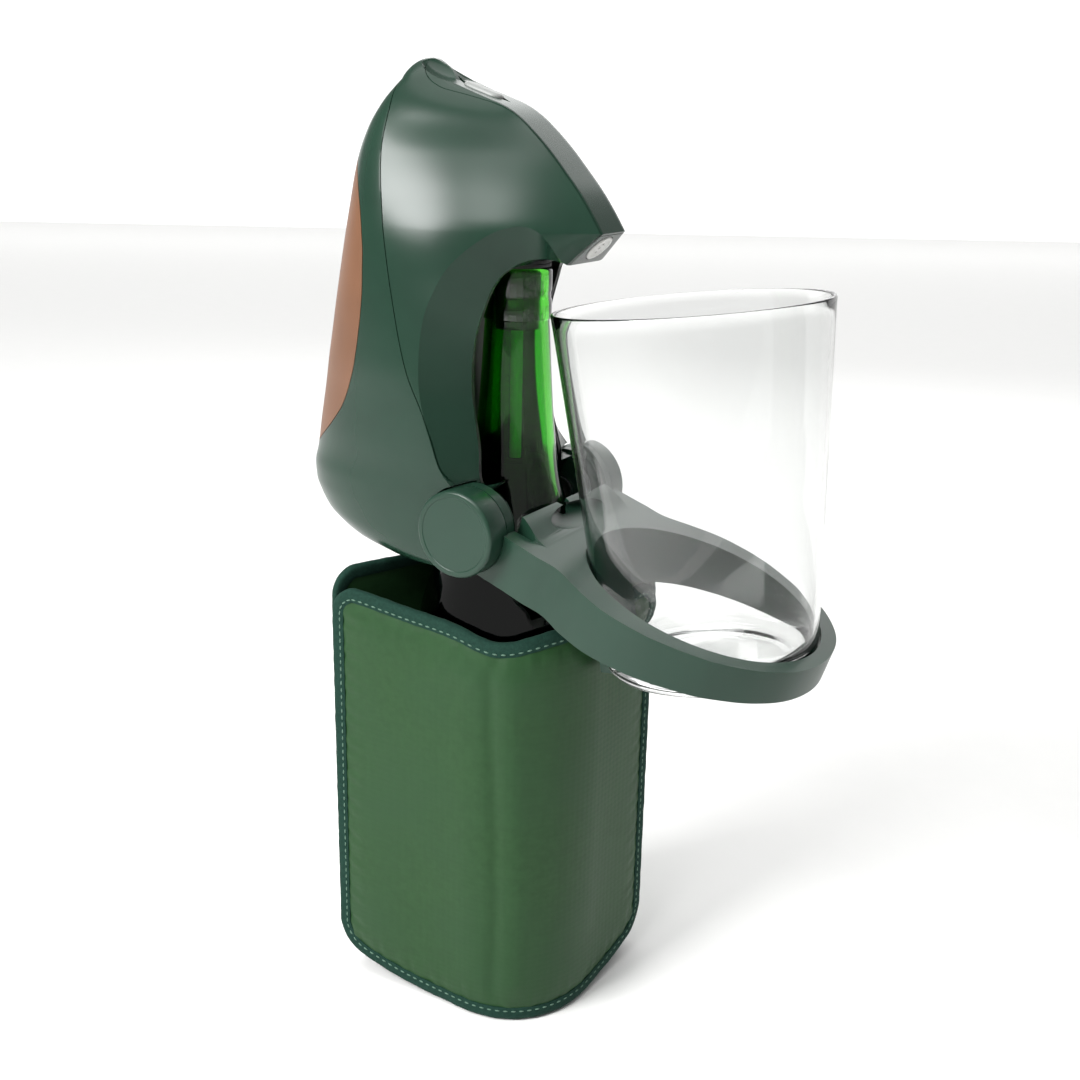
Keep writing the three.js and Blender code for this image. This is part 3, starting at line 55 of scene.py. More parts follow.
HEAD_DEPTH, HEAD_HALF, HEAD_HEIGHT, HEAD_FOOT = 130.0, 42.5, 184.0, 190.0
SHELL_WALL = 2.5
CORNERS = (0.615, 0.678)
BACK = [
    (0, -0.446), (0.016, -0.554), (0.033, -0.608), (0.054, -0.654), (0.082, -0.685), (0.109, -0.704),
    (0.141, -0.708), (0.174, -0.695), (0.25, -0.669), (0.326, -0.642), (0.408, -0.612), (0.489, -0.583),
    (0.598, -0.545), (0.707, -0.508), (0.815, -0.478), (0.87, -0.448), (0.908, -0.412), (0.935, -0.381),
    (0.957, -0.354), (0.978, -0.335), (1, -0.319),
]
SEAM = [
    (0, -0.031, 0.941), (0.016, -0.031, 0.976), (0.054, -0.031, 1), (0.174, -0.031, 1), (0.245, -0.077, 1),
    (0.326, -0.113, 1), (0.386, -0.156, 1), (0.454, -0.188, 0.988), (0.527, -0.223, 0.965),
    (0.647, -0.254, 0.918), (0.728, -0.28, 0.847), (0.821, -0.314, 0.706), (0.908, -0.327, 0.518),
    (0.957, -0.312, 0.353), (0.978, -0.304, 0.235), (1, -0.304, 0.094),
]
CHEEK = [
    (0, 0, 0.953), (0.136, 0, 0.998), (0.185, 0.015, 0.984), (0.326, 0, 0.948), (0.435, -0.038, 0.927),
    (0.522, -0.038, 0.882), (0.595, -0.015, 0.79), (0.614, -0.008, 0.767), (0.663, 0.012, 0.708),
    (0.679, 0.016, 0.689), (0.728, -0.008, 0.632), (0.821, -0.092, 0.529), (0.875, -0.138, 0.447),
    (0.908, -0.181, 0.412), (0.957, -0.254, 0.311), (0.984, -0.285, 0.2), (1, -0.296, 0.085),
]
FRONT = [
    (0, 0.032, 0.941), (0.136, 0.032, 0.995), (0.185, 0.077, 0.918), (0.326, 0.092, 0.847),
    (0.435, 0.092, 0.824), (0.543, 0.138, 0.682), (0.598, 0.198, 0.376), (0.615, 0.222, 0.306),
    (0.678, 0.312, 0.212), (0.712, 0.28, 0.212), (0.75, 0.24, 0.212), (0.79, 0.19, 0.212),
    (0.83, 0.137, 0.212), (0.865, 0.083, 0.212), (0.895, 0.028, 0.212), (0.913, -0.02, 0.212),
    (0.928, -0.083, 0.212), (0.943, -0.15, 0.212), (0.957, -0.2, 0.205), (0.984, -0.269, 0.165),
    (1, -0.288, 0.071),
]
MOUTH = [
    (0.002, 0.988, 0.174, 0.028, 0.706, 0.178), (-0.044, 0.988, 0.207, 0.019, 0.682, 0.212),
    (-0.074, 0.988, 0.261, 0.009, 0.647, 0.255), (-0.106, 0.976, 0.337, -0.015, 0.635, 0.326),
    (-0.116, 0.965, 0.391, -0.02, 0.635, 0.386), (-0.117, 0.941, 0.457, -0.019, 0.624, 0.429),
    (-0.109, 0.918, 0.522, -0.011, 0.612, 0.476), (-0.092, 0.894, 0.554, 0.005, 0.588, 0.516),
    (-0.071, 0.847, 0.595, 0.028, 0.565, 0.56), (-0.025, 0.776, 0.636, 0.047, 0.518, 0.587),
    (0.019, 0.706, 0.663, 0.061, 0.471, 0.598), (0.056, 0.635, 0.676, 0.074, 0.447, 0.606),
    (0.093, 0.565, 0.682, 0.088, 0.424, 0.614), (0.124, 0.494, 0.677, 0.116, 0.376, 0.622),
    (0.154, 0.424, 0.66, 0.144, 0.329, 0.625), (0.179, 0.365, 0.641, 0.168, 0.294, 0.624),
    (0.201, 0.334, 0.628, 0.192, 0.271, 0.62), (0.225, 0.318, 0.617, 0.222, 0.247, 0.615),
]
TROUGH = [
    (-0.016, 0.031, 0.71), (0.087, 0.031, 0.69), (0.174, 0.028, 0.69), (0.185, 0.026, 0.701),
    (0.255, 0.009, 0.647), (0.326, -0.015, 0.635), (0.429, -0.019, 0.624), (0.476, -0.011, 0.612),
    (0.516, 0.005, 0.588), (0.56, 0.028, 0.565), (0.587, 0.047, 0.518), (0.606, 0.074, 0.447),
    (0.628, 0.088, 0.407),
]
SPLIT = [
    (-0.731, 0.935), (-0.4, 0.946), (-0.338, 0.954), (-0.327, 0.908), (-0.314, 0.821), (-0.28, 0.728),
    (-0.254, 0.647), (-0.223, 0.549), (-0.188, 0.454), (-0.156, 0.386), (-0.113, 0.326), (-0.082, 0.272),
    (-0.048, 0.212), (0, 0.176), (0.346, 0.176),
]
DOOR_EDGE = [
    (-0.53, 0.856), (-0.49, 0.848), (-0.46, 0.835), (-0.436, 0.815), (-0.412, 0.788), (-0.384, 0.749),
    (-0.355, 0.695), (-0.338, 0.638), (-0.335, 0.599), (-0.334, 0.55), (-0.337, 0.52), (-0.342, 0.489),
    (-0.35, 0.459), (-0.359, 0.427), (-0.373, 0.39), (-0.395, 0.355), (-0.422, 0.32), (-0.451, 0.292),
    (-0.492, 0.264), (-0.536, 0.238), (-0.609, 0.202), (-0.665, 0.18), (-0.715, 0.166), (-0.76, 0.16),
]
RIDGE = [
    (0.312, 0.678), (0.28, 0.712), (0.24, 0.75), (0.19, 0.79), (0.137, 0.83), (0.083, 0.865),
    (0.028, 0.895), (-0.02, 0.913), (-0.083, 0.928), (-0.15, 0.943), (-0.2, 0.957),
]
LEAF = [
    (50, 8.7), (37, 8.8), (24.3, 8.7), (12.4, 8.7), (3, 8.9), (-5, 9.5), (-12, 10.4), (-17.5, 11.3),
    (-22.3, 12.3), (-26.4, 12.9), (-31.7, 12.3), (-35.2, 10), (-37.8, 5.5), (-38.6, 0),
]
# The bottle's shoulder: how far up it a point is, and its share of the widening.
SHOULDER = [
    (0, 1), (0.08, 0.975), (0.155, 0.895), (0.23, 0.755), (0.31, 0.6), (0.37, 0.465), (0.43, 0.34),
    (0.52, 0.215), (0.62, 0.138), (0.8, 0.06), (1, 0),
]


def smooth_row(table, at, corners=()):
    """A table's value at a height, on a curve without overshoot through its rows, sharp at the corners."""
    rows = table
    for corner in corners:
        if at <= corner:
            rows = [row for row in rows if row[0] <= corner + 1e-9]
        else:
            rows = [row for row in rows if row[0] >= corner - 1e-9]
    at = min(max(at, rows[0][0]), rows[-1][0])
    i = max(k for k in range(len(rows) - 1) if rows[k][0] <= at)
    low, high = rows[i], rows[i + 1]
    span = high[0] - low[0]
    t = (at - low[0]) / span
    out = []
    for k in range(1, len(low)):
        rise = (high[k] - low[k]) / span

        def slope(j):
            if j == 0 or j == len(rows) - 1:
                return rise
            before = (rows[j][k] - rows[j - 1][k]) / (rows[j][0] - rows[j - 1][0])
            after = (rows[j + 1][k] - rows[j][k]) / (rows[j + 1][0] - rows[j][0])
            return 0.0 if before * after <= 0 else 2 * before * after / (before + after)

        a, b = slope(i), slope(i + 1)
        out.append(
            (2 * t**3 - 3 * t**2 + 1) * low[k] + (t**3 - 2 * t**2 + t) * span * a
            + (3 * t**2 - 2 * t**3) * high[k] + (t**3 - t**2) * span * b
        )
    return out


# ---- Mesh helpers ----

def to_object(name, bm, sharp=32.0):
    """Turn a bmesh in millimetres into an object in metres, smooth except at its sharp edges."""
    bm.transform(Matrix.Scale(MM, 4))
    mesh = bpy.data.meshes.new(name)
    bm.to_mesh(mesh)
    bm.free()
    mesh.polygons.foreach_set("use_smooth", [True] * len(mesh.polygons))
    if sharp:
        mesh.set_sharp_from_angle(angle=math.radians(sharp))
    piece = bpy.data.objects.new(name, mesh)
    scene.collection.objects.link(piece)
    return piece


def skin(place, across, up, ends=True):
    """A grid put in place by a function of two shares, joined round and filled at its ends."""
    bm = bmesh.new()
    bmesh.ops.create_grid(bm, x_segments=across, y_segments=up, size=0.5)
    for vert in bm.verts:
        vert.co = place(vert.co.x + 0.5, vert.co.y + 0.5)
    bmesh.ops.remove_doubles(bm, verts=bm.verts, dist=1e-4)
    rims = [edge for edge in bm.edges if edge.is_boundary]
    if ends and rims:
        bmesh.ops.holes_fill(bm, edges=rims, sides=0)
    bmesh.ops.recalc_face_normals(bm, faces=bm.faces)
    return bm


def stacked(rings):
    """A closed body through rings of as many points."""
    count, last = len(rings[0]), len(rings) - 1
    return skin(lambda u, v: rings[round(v * last)][round(u * count) % count], count, last)


def prism(outline, low, high):
    """An outline of (x, y) points pulled along +Z."""
    bm = bmesh.new()
    face = bm.faces.new([bm.verts.new((x, y, low)) for x, y in outline])
    pulled = bmesh.ops.extrude_face_region(bm, geom=[face])
    bmesh.ops.translate(
        bm, verts=[g for g in pulled["geom"] if isinstance(g, bmesh.types.BMVert)], vec=(0, 0, high - low)
    )
    bmesh.ops.recalc_face_normals(bm, faces=bm.faces)
    return bm


def side_prism(outline, half):
    """An outline of (x, z) points pulled to both sides of the middle plane."""
    bm = prism(outline, -half, half)
    bm.transform(Matrix.Rotation(math.pi / 2, 4, "X"))
    return bm


def spun(profile, steps):
    """A piece turned about +Z from (radius, height) points that start and end on the axis, or meet."""
    bm = bmesh.new()
    verts = [bm.verts.new((r, 0, z)) for r, z in profile]
    edges = [bm.edges.new(pair) for pair in zip(verts, verts[1:])]
    bmesh.ops.spin(
        bm, geom=verts + edges, cent=(0, 0, 0), axis=(0, 0, 1), angle=2 * math.pi, steps=steps,
        use_merge=True,
    )
    bmesh.ops.remove_doubles(bm, verts=bm.verts, dist=1e-3)
    bmesh.ops.recalc_face_normals(bm, faces=bm.faces)
    return bm


def shifted(x, y, z):
    return Matrix.Translation((x, y, z))


def turned(degrees, axis="Y"):
    return Matrix.Rotation(math.radians(degrees), 4, axis)


def moved(bm, *matrices):
    for matrix in matrices:
        bm.transform(matrix)
    return bm


def rod(radius, low, high, steps=48):
    """A cylinder about +Z."""
    return spun([(0, low), (radius, low), (radius, high), (0, high)], steps)


def rounded(points, radius, steps=4):
    """An outline with its corners rounded, as a list of points."""
    out = []
    count = len(points)
    for i in range(count):
        before, here, after = (Vector(points[(i + k) % count]) for k in (-1, 0, 1))
        a, b = (before - here), (after - here)
        cut = min(radius, 0.45 * a.length, 0.45 * b.length)
        start, end = here + a.normalized() * cut, here + b.normalized() * cut
        for s in range(steps + 1):
            t = s / steps
            out.append(tuple((1 - t) ** 2 * start + 2 * t * (1 - t) * here + t**2 * end))
    return out


def block(low, high):
    """A box between two corners."""
    bm = bmesh.new()
    bmesh.ops.create_cube(bm, size=1)
    low, high = Vector(low), Vector(high)
    bm.transform(Matrix.Translation((low + high) / 2) @ Matrix.Diagonal((*(high - low), 1)))
    return bm


def mirrored(line):
    """The mirror image of half an outline across its first axis, walked the other way."""
    return [(u, -v) for u, v in reversed(line)]


def catmull(points, steps):
    """A smooth line through points."""
    line = [Vector(p) for p in points]
    line = [2 * line[0] - line[1]] + line + [2 * line[-1] - line[-2]]
    out = []
    for i in range(1, len(line) - 2):
        p0, p1, p2, p3 = line[i - 1 : i + 3]
        for s in range(steps):
            t = s / steps
            out.append(
                0.5 * (2 * p1 + (p2 - p0) * t + (2 * p0 - 5 * p1 + 4 * p2 - p3) * t**2
                       + (3 * p1 - p0 - 3 * p2 + p3) * t**3)
            )
    out.append(line[-2])
    return out


def heading(line, i):
    """The way that a line runs at one of its points."""
    return line[min(i + 1, len(line) - 1)] - line[max(i - 1, 0)]


class Solid:
    """A closed body that can be cut, joined, moved and copied. Its mesh is in metres."""

    def __init__(self, bm):
        self.piece = to_object("work", bm, sharp=None)

    def _combine(self, other, operation):
        other = other if isinstance(other, Solid) else Solid(other)
        modifier = self.piece.modifiers.new("combine", "BOOLEAN")
        modifier.operation = operation
        modifier.object = other.piece
        modifier.solver = "MANIFOLD"
        graph = bpy.context.evaluated_depsgraph_get()
        result = bpy.data.meshes.new_from_object(self.piece.evaluated_get(graph))
        self.piece.modifiers.clear()
        old, self.piece.data = self.piece.data, result
        bpy.data.meshes.remove(old)
        other.discard()
        return self

    def cut(self, *others):
        for other in others:
            self._combine(other, "DIFFERENCE")
        return self

    def join(self, *others):
        for other in others:
            self._combine(other, "UNION")
        return self

    def keep(self, other):
        return self._combine(other, "INTERSECT")

    def move(self, matrix):
        """Move the body by a matrix in millimetres."""
        self.piece.data.transform(Matrix.Scale(MM, 4) @ matrix @ Matrix.Scale(1 / MM, 4))

    def copy(self):
        twin = Solid.__new__(Solid)
        twin.piece = self.piece.copy()
        twin.piece.data = self.piece.data.copy()
        scene.collection.objects.link(twin.piece)
        return twin

    def discard(self):
        mesh = self.piece.data
        bpy.data.objects.remove(self.piece)
        bpy.data.meshes.remove(mesh)

    def finish(self, name, sharp=32.0, edge=0.0):
        """Give the body its name, its rounded edges and its shading."""
        mesh = self.piece.data
        bm = bmesh.new()
        bm.from_mesh(mesh)
        bmesh.ops.remove_doubles(bm, verts=bm.verts, dist=2e-6)
        bmesh.ops.dissolve_degenerate(bm, edges=bm.edges, dist=2e-6)
        bm.to_mesh(mesh)
        bm.free()
        mesh.polygons.foreach_set("use_smooth", [True] * len(mesh.polygons))
        mesh.set_sharp_from_angle(angle=math.radians(sharp))
        self.piece.name = mesh.name = name
        if edge:
            modifier = self.piece.modifiers.new("edges", "BEVEL")
            modifier.width = edge * MM
            modifier.segments = 2
            modifier.limit_method = "ANGLE"
            modifier.angle_limit = math.radians(sharp)
            modifier.harden_normals = True
        return self.piece


# ---- Finishes ----

class Value:
    """A number that varies over a surface. Sums, differences and products of it add Math nodes."""

    def __init__(self, finish, socket):
        self.finish = finish
        self.socket = socket

    def math(self, operation, *others):
        values = dict(enumerate((self,) + others))
        return self.finish.node("ShaderNodeMath", {"operation": operation}, values)

    def __add__(self, other):
        return self.math("ADD", other)

    def __sub__(self, other):
        return self.math("SUBTRACT", other)

    def __mul__(self, other):
        return self.math("MULTIPLY", other)

    def __rsub__(self, other):
        return self.finish.node("ShaderNodeMath", {"operation": "SUBTRACT"}, {0: other, 1: self})

    __radd__ = __add__
    __rmul__ = __mul__


class Finish:
    """One material: its nodes are added through node(), and wear() closes it."""

    def __init__(self, name):
        self.material = bpy.data.materials.new(name)
        self.material.use_nodes = True
        self.tree = self.material.node_tree
        self.tree.nodes.clear()

    def node(self, kind, settings=None, values=None, output=0):
        """Add a node with its settings and its inputs, which are numbers, colours or other values."""
        node = self.tree.nodes.new(kind)
        for key, value in (settings or {}).items():
            if key == "stops":
                ramp = node.color_ramp
                while len(ramp.elements) < len(value):
                    ramp.elements.new(0.5)
                for element, (place, color) in zip(ramp.elements, value):
                    element.position = place
                    element.color = color
            else:
                setattr(node, key, value)
        for key, value in (values or {}).items():
            socket = node.inputs[key]
            if isinstance(value, Value):
                self.tree.links.new(value.socket, socket)
            elif socket.type == "RGBA":
                socket.default_value = (*value, 1.0)
            else:
                socket.default_value = value
        return Value(self, node.outputs[output])

    def place(self, scale=(1, 1, 1), turn=(0, 0, 0)):
        where = self.node("ShaderNodeTexCoord", output="Object")
        return self.node("ShaderNodeMapping", {}, {"Vector": where, "Scale": scale, "Rotation": turn})

    def noise(self, scale, detail=2.0, rough=0.5, place=None):
        where = place or self.place()
        return self.node("ShaderNodeTexNoise", {}, {
            "Vector": where, "Scale": scale, "Detail": detail, "Roughness": rough})

    def wave(self, where, direction, scale, wobble, detail=2.0):
        return self.node("ShaderNodeTexWave", {"wave_type": "BANDS", "bands_direction": direction}, {
            "Vector": where, "Scale": scale, "Distortion": wobble, "Detail": detail})

    def ramp(self, value, *stops):
        stops = [(at, (level,) * 3 + (1,)) for at, level in stops]
        return self.node("ShaderNodeValToRGB", {"stops": stops}, {"Fac": value})

    def blend(self, share, first, second):
        return self.node("ShaderNodeMix", {"data_type": "RGBA"}, {0: share, 6: first, 7: second}, output=2)

    def bump(self, height, depth, strength=1.0, under=None):
        values = {"Height": height, "Distance": depth, "Strength": strength}
        if under:
            values["Normal"] = under
        return self.node("ShaderNodeBump", {}, values)

    def wear(self, **values):
        """Close the material with a principled shader that takes these values."""
        names = {key.replace("_", " ").title().replace("Ior", "IOR"): value for key, value in values.items()}
        shader = self.node("ShaderNodeBsdfPrincipled", {}, names)
        out = self.tree.nodes.new("ShaderNodeOutputMaterial")
        self.tree.links.new(shader.socket, out.inputs["Surface"])
        return self.material


def moulded(name, color, dark, rough, grain=0.00002, scale=900.0, **more):
    """Moulded plastic: a faint spread of tone, fine grain in the gloss and soft sink marks."""
    f = Finish(name)
    tone = f.ramp(f.noise(38.0, 3.0), (0.3, 0.0), (0.7, 1.0))
    fine = f.noise(scale, 3.0, 0.6)
    broad = f.noise(24.0, 1.0)
    shade = f.blend(tone, dark, color)
    gloss = rough + (fine - 0.5) * 0.03 + (broad - 0.5) * 0.06
    surface = f.bump(fine, grain, 0.3, under=f.bump(broad, 0.0004, 0.25))
    return f.wear(base_color=shade, roughness=gloss, normal=surface, **more)


green = moulded("head_green", (0.009, 0.032, 0.019), (0.0075, 0.027, 0.016), 0.25,
               specular_ior_level=0.32)
holder_green = moulded("holder_green", (0.011, 0.038, 0.023), (0.0095, 0.033, 0.02), 0.31,
                      specular_ior_level=0.36)
brown = moulded("cover_brown", (0.15, 0.064, 0.028), (0.125, 0.053, 0.023), 0.42, 0.00004, 1400.0)
black = moulded("liner_black", (0.008, 0.009, 0.008), (0.005, 0.006, 0.005), 0.32)
grey = moulded("button_grey", (0.27, 0.28, 0.27), (0.24, 0.25, 0.24), 0.4)
white = moulded("nozzle_white", (0.78, 0.78, 0.75), (0.7, 0.7, 0.68), 0.3)
rubber = moulded("stopper_rubber", (0.012, 0.013, 0.012), (0.008, 0.008, 0.008), 0.62)
board = moulded("board_green", (0.02, 0.12, 0.045), (0.014, 0.09, 0.035), 0.45)
jacket = moulded("cell_jacket", (0.06, 0.07, 0.08), (0.045, 0.055, 0.06), 0.28)
hose = moulded("milky_hose", (0.6, 0.65, 0.6), (0.52, 0.58, 0.53), 0.3)


def brushed_metal():
    f = Finish("pin_steel")
    streak = f.noise(420.0, 3.0, 0.6, f.place(scale=(1, 14, 1)))
    tone = f.blend(f.ramp(streak, (0.3, 0), (0.7, 1)), (0.42, 0.43, 0.44), (0.56, 0.57, 0.58))
    return f.wear(base_color=tone, metallic=1.0, roughness=0.22 + streak * 0.2,
                  normal=f.bump(streak, 0.00002))


steel = brushed_metal()


def clear_glass():
    f = Finish("clear_glass")
    ripple = f.noise(26.0, 1.0)
    dust = f.noise(160.0, 2.0)
    return f.wear(base_color=(0.93, 0.937, 0.933), roughness=0.0 + dust * 0.03,
                  transmission_weight=1.0, ior=1.47, normal=f.bump(ripple, 0.0006, 0.25))


def bottle_glass():
    f = Finish("bottle_glass")
    ripple = f.noise(30.0, 1.0)
    height = f.node("ShaderNodeSeparateXYZ", {}, {"Vector": f.place()}, output=2)
    filled = f.ramp((height - 0.2) * 30.0, (0.0, 0.0), (1.0, 1.0))
    tone = f.blend(filled, (0.004, 0.03, 0.004), (0.10, 0.62, 0.05))
    return f.wear(base_color=tone, roughness=0.02 + ripple * 0.02,
                  transmission_weight=1.0, ior=1.5, normal=f.bump(ripple, 0.0005, 0.3))


def dark_cider():
    f = Finish("cider")
    haze = f.noise(60.0, 2.0)
    tone = f.blend(haze, (0.002, 0.006, 0.002), (0.004, 0.01, 0.003))
    return f.wear(base_color=tone, roughness=0.5 + haze * 0.05, specular_ior_level=0.0)


def satin_cloth():
    """Coated satin cloth: a fine weave that shows in the gloss, and broad soft unevenness."""
    f = Finish("sleeve_cloth")
    where = f.place()
    cover = f.node("ShaderNodeUVMap")
    weave = f.wave(cover, "X", 130.0, 0.6, 1.0) * 0.5 + f.wave(cover, "Y", 130.0, 0.6, 1.0) * 0.5
    fine = f.noise(1500.0, 3.0, 0.7, where)
    broad = f.noise(22.0, 2.0, 0.5, where)
    mottle = f.ramp(f.noise(300.0, 3.0, 0.6, where), (0.35, 0.0), (0.65, 1.0))
    tone = f.blend(mottle, (0.012, 0.047, 0.0115), (0.016, 0.058, 0.0155))
    tone = f.blend(f.ramp(broad, (0.3, 0.0), (0.75, 1.0)), tone, (0.014, 0.051, 0.016))
    height = f.bump(weave, 0.00006, 0.5, under=f.bump(broad, 0.0012, 0.35))
    return f.wear(base_color=tone, roughness=0.38 + fine * 0.1 + weave * 0.06,
                  specular_ior_level=0.24, normal=f.bump(fine, 0.00003, under=height),
                  sheen_weight=0.04, sheen_roughness=0.4, sheen_tint=(0.55, 0.8, 0.6))


def woven_tape():
    """Dark matt binding tape with a rough, fuzzy surface."""
    f = Finish("binding_tape")
    ribs = f.wave(f.node("ShaderNodeUVMap"), "X", 260.0, 1.2)
    fuzz = f.noise(900.0, 4.0, 0.7)
    tone = f.blend(f.ramp(fuzz, (0.35, 0), (0.7, 1)), (0.004, 0.024, 0.016), (0.01, 0.04, 0.028))
    return f.wear(base_color=tone, roughness=0.78 + fuzz * 0.15, specular_ior_level=0.2,
                  normal=f.bump(ribs, 0.00018, 0.6, under=f.bump(fuzz, 0.00012, 0.6)),
                  sheen_weight=0.04, sheen_roughness=0.5, sheen_tint=(0.4, 0.7, 0.55))


def stitch_thread():
    f = Finish("stitch_thread")
    twist = f.wave(f.place(), "DIAGONAL", 900.0, 0.5)
    tone = f.blend(twist, (0.05, 0.12, 0.08), (0.13, 0.23, 0.17))
    return f.wear(base_color=tone, roughness=0.6 + twist * 0.1, normal=f.bump(twist, 0.0001, 0.6))


clear = clear_glass()
bottle_green = bottle_glass()
cider = dark_cider()
cloth = satin_cloth()
tape = woven_tape()
thread = stitch_thread()


def dress(piece, material, body, *nodes, slot):
    """Give a piece its material and its body, and say which nodes it stands for. The slot is not used."""
    piece.data.materials.clear()
    piece.data.materials.append(material)
    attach(piece, body)
    if nodes:
        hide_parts(*nodes)


def paint(node, material):
    """Give a carried-over node its material."""
    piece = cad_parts[node]
    piece.data.materials.clear()
    piece.data.materials.append(material)


# ---- Bottle ----

BOTTLE_R, NECK_R, COLLAR_R, BOTTLE_WALL = 38.5, 12.4, 13.1, 3.15
SHOULDER_Z, SHOULDER_RISE, BOTTLE_TOP = 150.0, 130.0, 300.0


def bottle_radius(z):
    """The bottle's outside radius at a height on its shoulder."""
    share = smooth_row(SHOULDER, (z - SHOULDER_Z) / SHOULDER_RISE)[0]
    return NECK_R + share * (BOTTLE_R - NECK_R)


def arc(cx, cz, radius, start, end, steps=6):
    """Points on an arc between two angles in degrees."""
    angles = [math.radians(start + (end - start) * k / steps) for k in range(steps + 1)]
    return [(cx + radius * math.cos(angle), cz + radius * math.sin(angle)) for angle in angles]


heights = [SHOULDER_Z + SHOULDER_RISE * k / 40 for k in range(41)]
outside = [(0, 1.6), (20, 1.2), (30, 0.3)] + arc(BOTTLE_R - 4.2, 4.2, 4.2, -90, 0)
outside += [(bottle_radius(z), z) for z in heights[:-1]]
outside += [(NECK_R, 279.2)] + arc(COLLAR_R - 0.7, 281.2, 0.7, -90, 0, 3)
outside += [(COLLAR_R, 287.5), (NECK_R + 0.3, 288.6), (NECK_R + 0.3, 290.5), (COLLAR_R, 291.6)]
outside += arc(COLLAR_R - 1.4, BOTTLE_TOP - 1.4, 1.4, 0, 90, 4)
bore = NECK_R - BOTTLE_WALL
inside = [(bore + 0.8, BOTTLE_TOP), (bore, BOTTLE_TOP - 0.8), (bore, 280)]
inside += [(bottle_radius(z) - BOTTLE_WALL, z) for z in reversed(heights[:-1])]
corner = arc(BOTTLE_R - BOTTLE_WALL - 6, 12, 6, 0, -90, 5)
inside += corner + [(0, 8.5)]
dress(to_object("bottle_fine", spun(outside + inside, 96)), bottle_green, "bottle_and_sleeve", "bottle",
      slot="bottle_glass")

# The cider stands in the shoulder, round the dip tube and a little clear of the glass.
LEVEL = 226.0
TUBE_ROOM, FILL_FOOT, FILL_GAP = 2.65, 8.9, 0.25
fill = [(TUBE_ROOM, FILL_FOOT)] + [(x - FILL_GAP, z + FILL_GAP) for x, z in reversed(corner)]
fill += [(bottle_radius(z) - BOTTLE_WALL - FILL_GAP, z) for z in heights if z < LEVEL]
edge = bottle_radius(LEVEL) - BOTTLE_WALL - FILL_GAP
fill += [(edge, LEVEL + 0.5), (edge - 0.8, LEVEL), (2.9, LEVEL), (2.7, LEVEL + 0.3)]
fill += [(TUBE_ROOM, FILL_FOOT)] * 2
dress(to_object("cider_inside", spun(fill, 72)), cider, "bottle_and_sleeve", slot="bottle_glass")


# ---- Pump head ----

DOME, DOME_FOOT, DOME_TOP = 0.957, -0.28, -0.3
EASE = 0.045
EDGE_TURN = 0.94


@lru_cache(maxsize=None)
def outline_at(level):
    """The head's back, seam, cheek and front at a height, and the front with its corners eased."""
    front = smooth_row(FRONT, level, CORNERS)
    near = [smooth_row(FRONT, level + EASE * k / 4, CORNERS) for k in range(-4, 5)]
    eased = [sum(row[i] for row in near) / len(near) for i in (0, 1)]
    return smooth_row(BACK, level)[0], smooth_row(SEAM, level), smooth_row(CHEEK, level), front, eased


def head_point(u, v):
    """A point of the head's outside: u goes round from the back's middle, v goes up."""
    level = v
    if level > DOME:
        rise = (level - DOME) / (1 - DOME)
        ring = head_point(u, DOME)
        foot = Vector((DOME_FOOT * HEAD_DEPTH, 0, ring.z))
        top = Vector((DOME_TOP * HEAD_DEPTH, 0, HEAD_FOOT + level * HEAD_HEIGHT))
        narrowing = max(1 - rise**1.1, 0) ** 0.55
        x = foot.x + (top.x - foot.x) * rise + (ring.x - foot.x) * narrowing
        return Vector((x, ring.y * narrowing, top.z))
    turn, side = (u * 2, 1.0) if u <= 0.5 else (2 - u * 2, -1.0)
    back, (sx, sy), (kx, ky), (fx, fy), (ex, ey) = outline_at(level)
    if turn <= 0.5:
        angle = turn * math.pi
        x = sx - (sx - back) * max(math.cos(angle), 0) ** (2 / 2.3)
        y = sy * max(math.sin(angle), 0) ** (2 / 2.3)
    elif turn <= EDGE_TURN:
        t = (turn - 0.5) / 0.44
        px, py = 2 * kx - (sx + ex) / 2, 2 * ky - (sy + ey) / 2
        a, b, c, crisp = (1 - t) ** 2, 2 * t * (1 - t), t * t, t**6
        x = a * sx + b * px + c * ex + crisp * (fx - ex)
        y = a * sy + b * py + c * ey + crisp * (fy - ey)
    else:
        x, y = fx, fy * (1 - turn) / 0.06
    return Vector((x * HEAD_DEPTH, side * y * HEAD_HALF, HEAD_FOOT + level * HEAD_HEIGHT))


LEVELS = sorted(
    {k / 130 for k in range(124)} | {0.003, 0.011, 0.615, 0.618, 0.675, 0.678, 0.681}
    | {1 - (1 - DOME) * (1 - math.sin(math.pi / 2 * k / 10)) for k in range(11)}
)


def head_skin(inward=0.0):
    """The head's outside as a closed body, or the same body moved inwards."""
    count = len(LEVELS) - 1
    bm = skin(lambda u, v: head_point(u, LEVELS[round(v * count)]), 288, count)
    if inward:
        bm.normal_update()
        for vert, normal in [(vert, vert.normal.copy()) for vert in bm.verts]:
            vert.co -= normal * inward
    return bm


def soft_line(points, steps, passes):
    """A smooth line through points, evened out."""
    line = catmull(points, steps)
    for _ in range(passes):
        line = [line[0]] + [(p + 2 * q + r) / 4 for p, q, r in zip(line, line[1:], line[2:])] + [line[-1]]
    return line


def in_head(x, y, z):
    """A point of the head, from shares of its depth, half width and height."""
    return Vector((x * HEAD_DEPTH, y * HEAD_HALF, HEAD_FOOT + z * HEAD_HEIGHT))


def side_points(shares):
    """Points of the head's side view, from shares of its depth and height."""
    return [(x * HEAD_DEPTH, HEAD_FOOT + z * HEAD_HEIGHT) for x, z in shares]


